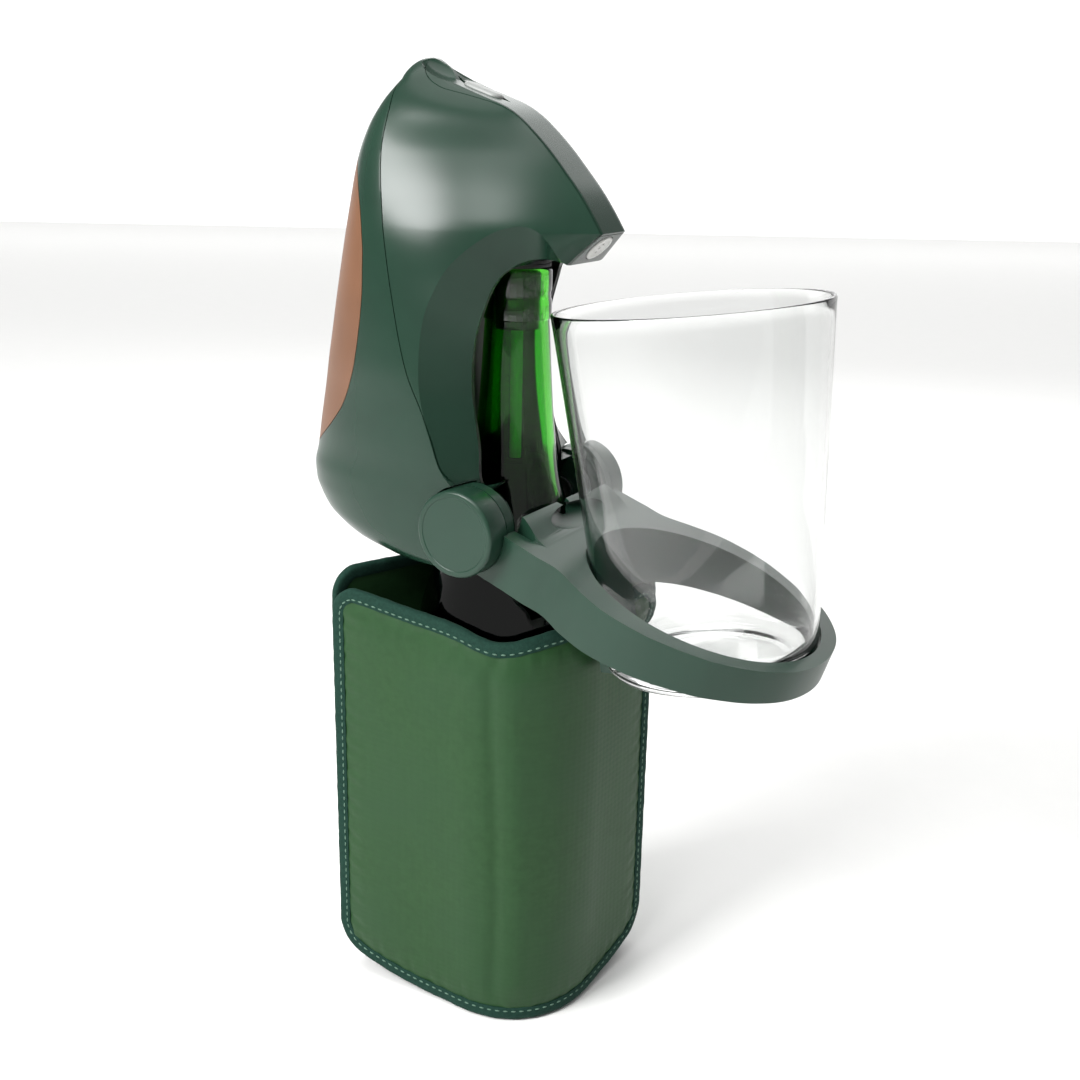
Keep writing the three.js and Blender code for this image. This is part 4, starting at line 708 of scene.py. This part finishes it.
def mouth_space(setback=0.0):
    """The space in front of the mouth's rim."""
    outers, inners = (soft_line([in_head(*row[k:k + 3]) for row in MOUTH], 8, 24) for k in (0, 3))
    rings = []
    for i, (outer, inner) in enumerate(zip(outers, inners)):
        before, after = max(i - 3, 0), min(i + 3, len(outers) - 1)
        along = outers[after] + inners[after] - outers[before] - inners[before]
        across = (outer - inner).normalized()
        back = along.cross(across).normalized() * setback
        rim, beyond = inner + back, outer + across * 12 + back
        far = Vector((130, 70, 205 + 10 * i / (len(outers) - 1)))
        rings.append([beyond, rim] + [Vector((p.x, -p.y, p.z)) for p in (rim, beyond, far)] + [far])
    return stacked(rings)


TROUGH_TURNS, TROUGH_ROWS, ROOM_BEHIND_NECK = 48, 60, 6
TROUGH_HIGH, FORWARD = 115.6 / HEAD_HEIGHT, 8


def trough(shrink, low, high, forward):
    """The trough that the bottle's neck stands in, round at the back and flat at the front."""
    count = TROUGH_TURNS + 4

    def place(u, v):
        level = low + v * (high - low)
        z = HEAD_FOOT + level * HEAD_HEIGHT
        middle, half = smooth_row(TROUGH, level)
        middle, half = middle * HEAD_DEPTH, half * HEAD_HALF - shrink
        k = round(u * count) % count
        if k <= TROUGH_TURNS:
            depth = middle + bottle_radius(z) + ROOM_BEHIND_NECK - shrink
            turn = math.pi * k / TROUGH_TURNS
            return Vector((middle - depth * math.sin(turn), half * math.cos(turn), z))
        ahead = middle + forward * (1 - level / TROUGH[-1][0])
        return Vector((ahead, -half + 2 * half * (k - TROUGH_TURNS - 0.5) / 3, z))

    return skin(place, count, TROUGH_ROWS)


HINGE = shifted(4.2, 0, 206.8)


def on_hinge(bm, side):
    """A body about +Z turned out to one side and put on the hinge axis."""
    return moved(bm, turned(-side * 90, "X"), HINGE)


def hinge_rod(radius, inner, outer, side, steps=96):
    """A cylinder about the hinge axis."""
    return on_hinge(rod(radius, inner, outer, steps), side)


def scoop(side, grow=0.0):
    """The thumb hollow on one side of the crest behind the button."""
    bm = bmesh.new()
    bmesh.ops.create_uvsphere(bm, u_segments=72, v_segments=36, radius=1)
    size = Matrix.Diagonal((13 + grow, 8 + grow, 6.5 + grow, 1))
    return moved(bm, size, turned(22), shifted(-28.5, side * 7.5, 372.8))


POCKET, LUG_IN, LUG_OUT = 17.2, 28.6, 31.2
PIN_HOLE, PIN_FROM, PIN_TO = 4.3, 16, 48
casing = Solid(head_skin())
for side in (-1, 1):
    casing.join(hinge_rod(14.3, LUG_IN, LUG_OUT, side))
hollow = Solid(head_skin(SHELL_WALL)).cut(mouth_space(SHELL_WALL))
for side in (-1, 1):
    hollow.cut(hinge_rod(POCKET + SHELL_WALL, LUG_IN, 60, side), scoop(side, SHELL_WALL))
casing.cut(mouth_space(), trough(0, TROUGH[0][0], TROUGH_HIGH, FORWARD), hollow)
casing.cut(rod(12.9, 300, 303.3, 96))
for side in (-1, 1):
    casing.cut(hinge_rod(POCKET, LUG_OUT, 60, side), hinge_rod(PIN_HOLE, PIN_FROM, PIN_TO, side, 40))


def split_space(shift):
    """The room in front of the line along which the two shells meet."""
    line = side_points(SPLIT)
    curve = [tuple(p) for p in catmull(line[2:14], 6)]
    outline = line[:2] + curve + line[14:] + [(line[-1][0], 390), (line[0][0], 390)]
    return moved(side_prism(outline, 60), shifted(shift, 0, shift))


ridge = side_points(RIDGE)


def strip_space(grow):
    """The strip's room: a band along the ridge that widens into a leaf round the top."""
    leaf = [(p.x, p.y + grow) for p in catmull(LEAF, 6)]
    leaf[0] = (leaf[0][0] + grow, leaf[0][1])
    leaf[-1] = (leaf[-1][0] - grow, 0.0)
    line = [Vector(p) for p in ridge] + [Vector((-42, 369))]
    depths = [1.0, 1.7, 2.6, 4] + [5] * (len(line) - 4)
    floor = []
    for i, (point, deep) in enumerate(zip(line, depths)):
        along = heading(line, i)
        down = Vector((along.y, -along.x)).normalized()
        down = down if down.y < 0 else -down
        floor.append(point + down * (deep + grow))
    ahead = (floor[0] - floor[1]).normalized()
    floor = [floor[0] + ahead * 14] + floor
    section = [tuple(q) for q in floor] + [(floor[-1].x, 385), (floor[0].x, 385)]
    return Solid(side_prism(section, 30)).keep(prism(leaf + mirrored(leaf[:-1]), 290, 380))


def seat_at(x):
    """The ridge's height and slope at a place along it."""
    for (x1, z1), (x2, z2) in zip(ridge, ridge[1:]):
        if x2 <= x <= x1:
            return z1 + (x - x1) / (x2 - x1) * (z2 - z1), math.atan2(z2 - z1, x1 - x2)
    raise ValueError(x)


BUTTON_X = -16.0
seat_z, seat_slope = seat_at(BUTTON_X)
BUTTON = shifted(BUTTON_X, 0, seat_z) @ Matrix.Rotation(seat_slope, 4, "Y")


def pill_line(length, width, steps=20):
    """The outline of a pill that lies along X."""
    straight = (length - width) / 2
    return arc(straight, 0, width / 2, -90, 90, steps) + arc(-straight, 0, width / 2, 90, 270, steps)


def arrow(end, inset=0.0):
    """The small arrow-shaped pocket in the strip past one end of the button."""
    tip, foot, half = 12.6 - 2 * inset, 8.2 + inset, 2.1 - inset
    return [(end * tip, 0), (end * foot, half), (end * foot, -half)]


(low_x, low_z), (high_x, high_z) = side_points(((0.222, 0.615), (0.312, 0.678)))
spout_tilt = math.atan2(high_z - low_z, high_x - low_x)
spout_middle = shifted((low_x + high_x) / 2, 0, (low_z + high_z) / 2)
NOZZLE = spout_middle @ Matrix.Rotation(math.pi - spout_tilt, 4, "Y")

TRAY_HEIGHT, BACK_SLOPE = 87, 13.5
TRAY_X = smooth_row(BACK, TRAY_HEIGHT / HEAD_HEIGHT)[0] * HEAD_DEPTH
TRAY = shifted(TRAY_X, 0, HEAD_FOOT + TRAY_HEIGHT) @ turned(BACK_SLOPE - 90)


def door_space(grow):
    """The room behind the oval line that goes round the casing's sides."""
    line = catmull(side_points(DOOR_EDGE), 5)
    outline = []
    for i, point in enumerate(line):
        along = heading(line, i).normalized()
        outline.append((point.x - along.y * grow, point.y + along.x * grow))
    return side_prism(outline, 60)


for side in (-1, 1):
    casing.cut(scoop(side))
strip = casing.copy().keep(strip_space(0)).cut(moved(prism(pill_line(17.6, 7.2, 16), -9, 9), BUTTON))
for end in (-1, 1):
    strip.cut(moved(prism(rounded(arrow(end), 0.3), -0.9, 4), BUTTON))
front = casing.copy().keep(split_space(GAP)).cut(strip_space(GAP), moved(rod(6.05, -6, 6, 64), NOZZLE))
door = casing.copy().keep(door_space(0))
rear = casing.cut(split_space(0), door_space(GAP))

for name, shell in (("rear_shell", rear), ("front_shell", front), ("ridge_strip", strip)):
    dress(shell.finish(f"{name}_fine", sharp=24), green, "pourer_head", name, slot="green_plastic")
dress(door.finish("battery_cover_fine"), brown, "cover", "battery_cover", slot="brown_plastic")


# ---- Neck liner, button, nozzle and hinge caps ----

LINER_LOW, DECK_LOW, DECK_HIGH, PUMP_AXIS = 24 / HEAD_HEIGHT, 303.3, 305.3, 329.0
LINER_WALL, CRADLE_HALF = 1.6, 8
liner = Solid(trough(GAP, LINER_LOW, (DECK_HIGH - HEAD_FOOT) / HEAD_HEIGHT, 0))
liner.cut(trough(GAP + LINER_WALL, LINER_LOW - LINER_WALL / HEAD_HEIGHT,
                 (DECK_LOW - HEAD_FOOT) / HEAD_HEIGHT, FORWARD))
motor_cradle = Solid(block((-42.87, -CRADLE_HALF, DECK_LOW), (-39.87, CRADLE_HALF, 324)))
motor_cradle.cut(moved(rod(10.3, -60, 0), turned(90), shifted(0, 0, PUMP_AXIS)))
pump_cradle = block((-18.9, -CRADLE_HALF, DECK_LOW), (-15.9, CRADLE_HALF, 318.7))
liner.join(block((-48, -12, DECK_LOW), (0, 12, DECK_HIGH)), pump_cradle, motor_cradle)

# Two posts run from the liner to the battery tray, and hold its screws.
posts = [shifted(-10, side * 16.6, 0) for side in (-1, 1)]
near, far = (moved(rod(3.2, -71.4, -19.7, 24), post) for post in posts)
pair = Solid(near).join(far)
pair.move(TRAY)
liner.join(pair.cut(trough(GAP + 0.8, LINER_LOW, TROUGH_HIGH, FORWARD)))
liner.cut(rod(8.3, 303, 306, 64), mouth_space(GAP))
for post in posts:
    liner.cut(moved(rod(1.4, -27.7, -16, 20), TRAY @ post))
dress(liner.finish("neck_liner_fine"), black, "pourer_head", "neck_liner", slot="black_plastic")

BUTTON_EDGE = [
    (0, -4.2), (0, 0.2), (0.1, 0.5), (0.3, 0.75), (0.6, 0.95), (1.2, 1.1), (2.0, 1.15), (2.9, 1.18),
]
button = Solid(stacked([
    [Vector((*point, z)) for point in pill_line(17 - 2 * cut, 6.6 - 2 * cut)] for cut, z in BUTTON_EDGE]))
button.join(prism(pill_line(19, 8.6), -4.2, -3.4))
# Black pieces on the floors of the two arrow pockets: their black is painted shade that darkens the
# recesses.
marks = [prism(rounded(arrow(end, 0.12), 0.2), -0.9, -0.55) for end in (-1, 1)]
button.move(BUTTON)
dress(button.finish("power_button_fine"), grey, "button", "power_button", slot="grey_plastic")
for name, floor_shade in zip(("rear", "front"), marks):
    pocket = to_object(f"button_pocket_shade_{name}", moved(floor_shade, BUTTON))
    dress(pocket, black, "pourer_head", slot="black_plastic")

profile = [(0, -7), (3.2, -7), (3.2, -2)] + arc(5.55, -1.8, 0.2, -90, 0, 2)
profile += arc(5.35, 0.0, 0.4, 0, 90, 4) + [(4.4, 0.4), (4.2, 0.2), (0, 0.2)]
nozzle = Solid(spun(profile, 72))
for row in (-1, 0, 1):
    nozzle.cut(moved(rod(0.6, -8, 2, 20), shifted(row * 2.2, 0, 0)))
for turn in (60, 120, 240, 300):
    nozzle.cut(moved(rod(0.28, -0.4, 2, 14), turned(turn, "Z") @ shifted(2.5, 0, 0)))
nozzle.move(NOZZLE)
dress(nozzle.finish("nozzle_insert_fine"), white, "pourer_head", "nozzle_insert", slot="white_plastic")

CAP_IN, CAP_OUT, PIN_END = 37.3, 48.2, 41.1
CAP_R, CAP_ROUND, CAP_DISH = 16.5, 1.2, 0.25
profile = [(0, PIN_END + GAP), (PIN_HOLE, PIN_END + GAP), (PIN_HOLE, CAP_IN)]
profile += arc(CAP_R - 0.4, CAP_IN + 0.4, 0.4, -90, 0, 3)
profile += arc(CAP_R - CAP_ROUND, CAP_OUT - CAP_ROUND, CAP_ROUND, 0, 90, 6)
profile += [(14.2, CAP_OUT), (13.9, CAP_OUT - CAP_DISH), (0, CAP_OUT - CAP_DISH)]
for side, name in ((-1, "left"), (1, "right")):
    cap = to_object(f"hinge_cap_{name}_fine", on_hinge(spun(profile, 128), side))
    dress(cap, holder_green, "holder", f"hinge_cap_{name}", slot="green_plastic")


# ---- Glass ----

GLASS = shifted(88.5, 0, 158.5) @ turned(-6.7)
GLASS_HIGH, GLASS_BASE, GLASS_RIM, GLASS_WALL = 135.0, 39.3, 50.1, 1.8


def glass_radius(height):
    return GLASS_BASE + (GLASS_RIM - GLASS_BASE) * height / GLASS_HIGH


def glass_space(grow, low, high):
    """The glass's cone between two heights, grown all round."""
    foot, top = glass_radius(low) + grow, glass_radius(high) + grow
    return moved(spun([(0, low), (foot, low), (top, high), (0, high)], 144), GLASS)


outside = [(0, 1.3), (16, 1.1), (27, 0.5), (31, 0.0)] + arc(GLASS_BASE - 6.6, 6.8, 6.8, -80, 0, 10)
outside += [(glass_radius(z), z) for z in range(10, 134, 4)]
rim = arc(GLASS_RIM - 0.75, GLASS_HIGH - 0.75, 0.75, 0, 180, 8)
inside = [(glass_radius(z) - GLASS_WALL, z) for z in range(130, 16, -4)]
inside += arc(glass_radius(14) - GLASS_WALL - 9, 15.2, 9, 0, -84, 10) + [(20, 6.6), (8, 7.2), (0, 7.3)]
dress(to_object("drinking_glass_fine", moved(spun(outside + rim + inside, 144), GLASS), sharp=None),
      clear, "glass", "drinking_glass", slot="clear_glass")


# ---- Glass holder ----

HOLDER = HINGE @ turned(17.8)
REACH, HALF, TOP, DEPTH, FRONT_DEPTH = 133.5, 51.5, 5.7, 20.0, 12.5
SIDE = [
    (0.165, 0.786), (0.237, 0.802), (0.307, 0.806), (0.394, 0.903), (0.479, 0.981), (0.569, 1),
    (0.66, 0.975), (0.78, 0.87), (0.846, 0.761), (0.906, 0.625), (0.959, 0.437), (0.989, 0.233), (1, 0),
]
PLATE_BACK, PLATE_END, PLATE_HALF, PLATE_RISE, SLOPE_FROM = 14.9, 30, 31.2, 4.5, 50
EAR_R, EAR_IN, EAR_OUT, EAR_FRONT, ARM_OUT = 16.5, 32.4, 37.0, 24, 39.5
ROOM, CUP_WALL, CUP_FOOT, CUP_TOP = 0.8, 3.2, -0.3, 67.5
UNDER = TOP - DEPTH


def plate_prism(line, low, high):
    """Half an outline of the holder and its mirror image, pulled along the holder's own +Z."""
    return moved(prism(line + mirrored(line), low, high), HOLDER)


side_line = [(u * REACH, v * HALF) for u, v in SIDE]
curve = [tuple(p) for p in catmull(side_line + mirrored(side_line[:-1]), 8)]
back_corner = [(PLATE_BACK, 28.3), (EAR_FRONT, PLATE_HALF)]
arm_line = back_corner + [(EAR_FRONT, EAR_IN), (2, EAR_IN), (2, ARM_OUT)]
holder = Solid(moved(prism(arm_line + curve + mirrored(arm_line), UNDER, TOP), HOLDER))
ramp = [(PLATE_END + (PLATE_BACK - PLATE_END) * t, TOP + PLATE_RISE * t * t * (3 - 2 * t))
        for t in (k / 12 for k in range(1, 13))]
ramp = [(PLATE_BACK, 2.7), (PLATE_END, 2.7), (PLATE_END, TOP)] + ramp
raised = Solid(moved(side_prism(ramp, PLATE_HALF), HOLDER))
raised.keep(plate_prism(back_corner + [(PLATE_END, PLATE_HALF)], UNDER, TOP + 4.8))
slope_to = REACH + 12
slope_end = TOP - FRONT_DEPTH + (DEPTH - FRONT_DEPTH) * 12 / (REACH - SLOPE_FROM)
below = [(SLOPE_FROM, UNDER), (slope_to, slope_end), (slope_to, UNDER - 12), (SLOPE_FROM, UNDER - 12)]
skirt = [(2, 25.1), (EAR_FRONT, 28.0)] + [(u, v - CUP_WALL) for u, v in side_line[1:4]]
hollow = Solid(plate_prism(skirt, UNDER - 0.3, TOP - 3)).cut(glass_space(ROOM + CUP_WALL, -12, CUP_TOP))
base_front = (HOLDER.inverted() @ GLASS @ Vector((GLASS_BASE, 0, 0))).x
opening = moved(rod(GLASS_BASE, UNDER - 12, TOP, 144), shifted(base_front - 7.5 - GLASS_BASE, 0, 0), HOLDER)
holder.join(raised).cut(moved(side_prism(below, 63.5), HOLDER), hollow, opening)
for side in (-1, 1):
    holder.join(hinge_rod(EAR_R, EAR_IN, EAR_OUT, side))
tongue_line = rounded([(0, -13), (58.2, -13), (58.2, 13), (0, 13)], 6)
holder.join(Solid(glass_space(ROOM + 2.6, -3.1, 33)).keep(moved(prism(tongue_line, 0, 300))))
dimple = skin(lambda u, v: Vector((8.5 * math.sin(math.pi * v) * math.cos(2 * math.pi * u),
                                   17 * math.sin(math.pi * v) * math.sin(2 * math.pi * u),
                                   2.6 * math.cos(math.pi * v))), 96, 48, ends=False)
shoulder = [(bottle_radius(z) + 1.2, z) for z in heights]
holder.cut(
    glass_space(ROOM, CUP_FOOT, CUP_TOP), moved(dimple, shifted(23.05, 0, 8.0), HOLDER),
    moved(rod(3.4, UNDER, TOP + 16.5), shifted(PLATE_BACK, 0, 0), HOLDER),
    spun([(0, heights[0])] + shoulder + [(0, heights[-1])], 128))
for side in (-1, 1):
    holder.cut(hinge_rod(EAR_R + 0.3, EAR_OUT + 0.15, 60, side),
               hinge_rod(PIN_HOLE, PIN_FROM, PIN_TO, side, 40))
dress(holder.finish("glass_holder_fine", edge=0.45), holder_green, "holder", "glass_holder",
      slot="green_plastic")


# ---- Sleeve ----

LEFT, RIGHT, TAPE, TAPE_THICK = 70.0, 55.5, 5.5, 3.4
SLEEVE_LOW, FRONT_HIGH, REAR_HIGH = 0.6, 175.2, 181.2
V_PLACE, V_WIDE, V_DEEP = 0.47, 0.09, 4
SLEEVE = turned(39, "Z")


def panel_point(face, across, up):
    """A point on the middle of a panel."""
    edge = abs(2 * across - 1) ** 3
    low = SLEEVE_LOW + TAPE / 2 + 12 * edge
    high = REAR_HIGH
    if face < 0:
        high = FRONT_HIGH - 6 * (1 - edge) ** 2 - V_DEEP * math.exp(-((across - V_PLACE) / V_WIDE) ** 2)
    height = low + up * (high - TAPE / 2 - low)
    hug = bottle_radius(height) + 0.3 + 1.7
    left, right = math.sqrt(LEFT**2 - hug**2), math.sqrt(RIGHT**2 - hug**2)
    bend = (math.pi - math.acos(hug / LEFT) - math.acos(hug / RIGHT)) * hug
    run = across * (left + bend + right)
    if run < left:
        x, out = -LEFT + run * left / LEFT, run * hug / LEFT
    elif run < left + bend:
        turn = math.pi - math.acos(hug / LEFT) - (run - left) / hug
        x, out = hug * math.cos(turn), hug * math.sin(turn)
    else:
        run = left + bend + right - run
        x, out = RIGHT - run * right / RIGHT, run * hug / RIGHT
    out += (out / hug) ** 4 * (4 if face < 0 else 1) + TAPE_THICK / 2 + GAP / 2
    return Vector((x, face * out, height))


def panel_out(face, across, up):
    """The level direction out of a panel at a point."""
    a, b = panel_point(face, max(across - 0.01, 0), up), panel_point(face, min(across + 0.01, 1), up)
    along = b - a
    along.z = 0
    along.normalize()
    return Vector((-along.y * face, along.x * face, 0))


WIDE, HIGH = 152.0, 160.0


def soft_wave(s, seed):
    """A wave that doesn't seem to repeat, between about -1 and 1."""
    waves = ((1, 0.83, 1), (0.6, 1.31, 2.1), (0.4, 0.37, 0.7))
    return sum(share * math.sin(s * pace + start * seed) for share, pace, start in waves) / 2


def puff(face, across, up):
    """How full the padding is, from 0 at the edge to 1, and how far its folds lift the cloth, in mm."""
    w, h = across * WIDE, up * HIGH
    left, right, low, high = w, WIDE - w, h, HIGH - h
    near = min(left, right, low, high)
    full = 1 - math.exp(-max(near - 2.0, 0) / 5.5)
    pucker = 0.0
    for distance, along, seed in ((left, h, 1.0), (right, h, 2.3), (low, w, 3.7), (high, w, 5.1)):
        pucker += math.exp(-((distance - 5) / 5.0) ** 2) * soft_wave(along * 0.95, seed) * 0.28
    fold = w - 71 - 1.5 * math.sin(h * 0.03)
    crest, dip = 0.9 * math.exp(-((fold - 7) / 5.0) ** 2), 1.1 * math.exp(-((fold + 1) / 2.4) ** 2)
    crease = (crest - dip) * min(1, near / 14)
    swell = 0.35 * math.sin(w * 0.085 + 0.8) * math.sin(h * 0.041 + 0.5)
    slant = 0.0
    for k in range(4):
        along = (w - 54 - 7 * k) * 0.86 + (high - 6) * 0.5
        across_fold = -(w - 54 - 7 * k) * 0.5 + (high - 6) * 0.86
        slant += 0.4 * math.exp(-(along / 2.2) ** 2) * math.exp(-((across_fold - 9) / 9) ** 2)
    return full, pucker + crease + swell * full + slant * full


def sleeve_panel(face, word):
    """One padded panel, its outer and inner cloth joined round the edge."""
    count, rows = 118, 128
    inset_u, inset_v = 1.5 / WIDE, 1.5 / HIGH

    def place(u, v):
        k = round(u * 2 * (count + 1)) % (2 * (count + 1))
        outer = k <= count
        across = (k if outer else 2 * count + 1 - k) / count
        across = inset_u + across * (1 - 2 * inset_u)
        up = inset_v + v * (1 - 2 * inset_v)
        full, lift = puff(face, across, up)
        half = 0.75 + full * (1.55 if outer else 0.95)
        point, out = panel_point(face, across, up), panel_out(face, across, up)
        return point + out * (half + lift if outer else -half)

    bm = skin(place, 2 * (count + 1), rows)
    layer = bm.loops.layers.uv.new("cloth")
    for f in bm.faces:
        for loop in f.loops:
            co = loop.vert.co
            loop[layer].uv = ((math.atan2(co.y, co.x) * 40) / 1000, co.z / 1000)
    piece = to_object(f"sleeve_{word}_panel_fine", moved(bm, SLEEVE), sharp=60)
    dress(piece, cloth, "bottle_and_sleeve", f"sleeve_{word}_panel", slot="sleeve_fabric")


def tape_path(steps=420, radius=9.0):
    """Points round the panel's flat outline, each with its way inwards and its arc length."""
    corner = [(0, 0), (WIDE, 0), (WIDE, HIGH), (0, HIGH)]
    line = []
    for i, (cx, cy) in enumerate(corner):
        sx, sy = (1 if cx == 0 else -1), (1 if cy == 0 else -1)
        start = 180 + 90 * i
        line += [Vector(p) for p in arc(cx + sx * radius, cy + sy * radius, radius, start, start + 90, 10)]
    lengths = [(line[(i + 1) % len(line)] - line[i]).length for i in range(len(line))]
    total = sum(lengths)
    out = []
    for k in range(steps):
        at = total * k / steps
        i = 0
        while at > lengths[i]:
            at -= lengths[i]
            i += 1
        p = line[i].lerp(line[(i + 1) % len(line)], at / lengths[i])
        ahead = (line[(i + 1) % len(line)] - line[i]).normalized()
        out.append((p, Vector((-ahead.y, ahead.x)), total * k / steps))
    return out, total


TAPE_SECTION = [
    (-1, -0.35), (-1, 0.35), (-0.86, 0.78), (-0.6, 0.98), (-0.2, 1.0), (0.4, 0.94), (0.85, 0.86), (1, 0.74),
    (1, -0.74), (0.85, -0.86), (0.4, -0.94), (-0.2, -1.0), (-0.6, -0.98), (-0.86, -0.78),
]


def on_sheet(face, p, shift, lift, inward):
    """A point of the tape, moved in and lifted in mm from p on the flat outline, and its way out."""
    q = p + inward * shift
    across, up = (min(max(share, 0), 1) for share in (q.x / WIDE, q.y / HIGH))
    out = panel_out(face, across, up)
    return panel_point(face, across, up) + out * lift, out


def sleeve_tape(face, word):
    """The tape folded over a panel's edge."""
    path, total = tape_path()
    count = len(TAPE_SECTION)

    def place(u, v):
        p, inward, s = path[round(v * len(path)) % len(path)]
        a, b = TAPE_SECTION[round(u * count) % count]
        base, out = on_sheet(face, p, 0, 0, inward)
        deep, _ = on_sheet(face, p, 3, 0, inward)
        towards = (deep - base).normalized()
        ripple = 0.12 * soft_wave(s * 0.9, 4.2)
        thick = b * (TAPE_THICK / 2) * (1 + 0.08 * soft_wave(s * 0.5, 1.3))
        return base + towards * (a * TAPE / 2 + ripple) + out * thick

    bm = skin(place, count, len(path), ends=False)
    bm.loops.layers.uv.new("cloth")
    piece = to_object(f"sleeve_{word}_binding_fine", moved(bm, SLEEVE), sharp=50)
    dress(piece, tape, "bottle_and_sleeve", f"sleeve_{word}_binding", slot="binding_tape")
    return piece, path, total


def stitches(face, word, path, total):
    """A row of short threads along the tape's inner edge."""
    bm = bmesh.new()
    pitch, long, inset, lift = 3.1, 2.1, 1.35, 1.62
    count = int(total / pitch)
    for k in range(count):
        at = (k / count) * len(path)
        p, inward, _ = path[int(at) % len(path)]
        nxt = path[(int(at) + 1) % len(path)][0]
        p = p.lerp(nxt, at - int(at)) if (nxt - p).length < 5 else p
        here, out = on_sheet(face, p, inset, lift, inward)
        there, _ = on_sheet(face, p + Vector((inward.y, -inward.x)) * 0.5, inset, lift, inward)
        along = (there - here).normalized()
        side = out.cross(along)
        turn = Matrix((along, side, out)).transposed().to_4x4()
        bmesh.ops.create_uvsphere(
            bm, u_segments=6, v_segments=4, radius=1,
            matrix=Matrix.Translation(here) @ turn @ Matrix.Diagonal((long / 2, 0.34, 0.3, 1)))
    piece = to_object(f"sleeve_{word}_stitches", moved(bm, SLEEVE), sharp=None)
    dress(piece, thread, "bottle_and_sleeve", slot="binding_tape")
    return piece


for face, word in ((-1, "front"), (1, "rear")):
    sleeve_panel(face, word)
    band, path, total = sleeve_tape(face, word)
    sewing = stitches(face, word, path, total)
    total * MM


# ---- Carried-over nodes ----

for material, nodes in (
    (black, ["button_switch", "pump_cover", "battery_tray"]),
    (board, ["circuit_board"]),
    (hose, ["outlet_hose", "air_hose", "dip_tube"]),
    (rubber, ["bottle_stopper", "mouth_seal", "pump_diaphragm", "hinge_washer_left", "hinge_washer_right"]),
    (grey, ["pump_body"]),
    (white, ["pump_crank"]),
    (jacket, [f"battery_cell_{k}" for k in (1, 2, 3, 4)]),
    (steel, ["motor_can"] + [f"{word}_{side}" for word in ("contact_plate", "contact_spring", "tray_screw",
                                                          "hinge_pin") for side in ("left", "right")]),
):
    for node in nodes:
        paint(node, material)


# ---- Floor, light and camera ----

def stage_plane(name, size, material, *matrices):
    """A plane that the object stands on or in front of."""
    bm = bmesh.new()
    bmesh.ops.create_grid(bm, x_segments=1, y_segments=1, size=size)
    plane = to_object(name, moved(bm, *matrices), sharp=None)
    plane.data.materials.append(material)


def paper(name, scale, detail, dark, light, rough, **more):
    f = Finish(name)
    return f.wear(base_color=f.blend(f.noise(scale, detail), dark, light), roughness=rough, **more)


def studio():
    warm = paper("floor_paper", 40.0, 3.0, (0.82, 0.82, 0.81), (0.84, 0.84, 0.83), 0.7)
    stage_plane("floor", 4000, warm)
    pale = paper("backdrop_paper", 3.0, 2.0, (0.5, 0.5, 0.5), (0.52, 0.52, 0.52), 0.9,
                 emission_color=(1, 1, 1), emission_strength=0.75)
    stage_plane("backdrop", 5000, pale, Matrix.Diagonal((1, 0.2, 1, 1)), turned(90, "X"),
                turned(32, "Z"), shifted(-1900, 3000, 0))
    world = bpy.data.worlds.new("studio")
    scene.world = world
    world.use_nodes = True
    background = world.node_tree.nodes["Background"].inputs
    background["Color"].default_value = (1, 1, 1, 1)
    background["Strength"].default_value = 0.4

    def lamp(name, place, aim, size, power):
        data = bpy.data.lights.new(name, "AREA")
        data.shape = "RECTANGLE"
        data.size, data.size_y = size
        data.energy = power
        light = bpy.data.objects.new(name, data)
        light.location = place
        light.rotation_euler = (Vector(aim) - Vector(place)).to_track_quat("-Z", "Y").to_euler()
        scene.collection.objects.link(light)

    lamp("key", (-0.42, -1.06, 1.0), (-0.02, -0.03, 0.33), (0.55, 0.55), 26)
    lamp("second", (0.14, -1.0, 1.19), (0, -0.03, 0.33), (0.3, 0.3), 3.2)
    lamp("back", (-0.34, 1.1, 0.81), (0.06, 0, 0.2), (1.1, 0.6), 4)
    data = bpy.data.lights.new("sky", "SUN")
    data.energy = 1.7
    data.angle = math.radians(60)
    scene.collection.objects.link(bpy.data.objects.new("sky", data))


def camera():
    data = bpy.data.cameras.new("camera")
    data.lens = 45.7
    data.sensor_width = 36.0
    data.clip_start = 0.01
    view = bpy.data.objects.new("camera", data)
    place, aim = Vector((280.4, -441.3, 358.7)) * MM, Vector((8.9, 5.4, 191.9)) * MM
    look = (aim - place).to_track_quat("-Z", "Y").to_matrix() @ Matrix.Rotation(math.radians(1.18), 3, "Z")
    view.location = place
    view.rotation_euler = look.to_euler()
    scene.collection.objects.link(view)
    scene.camera = view


studio()
camera()
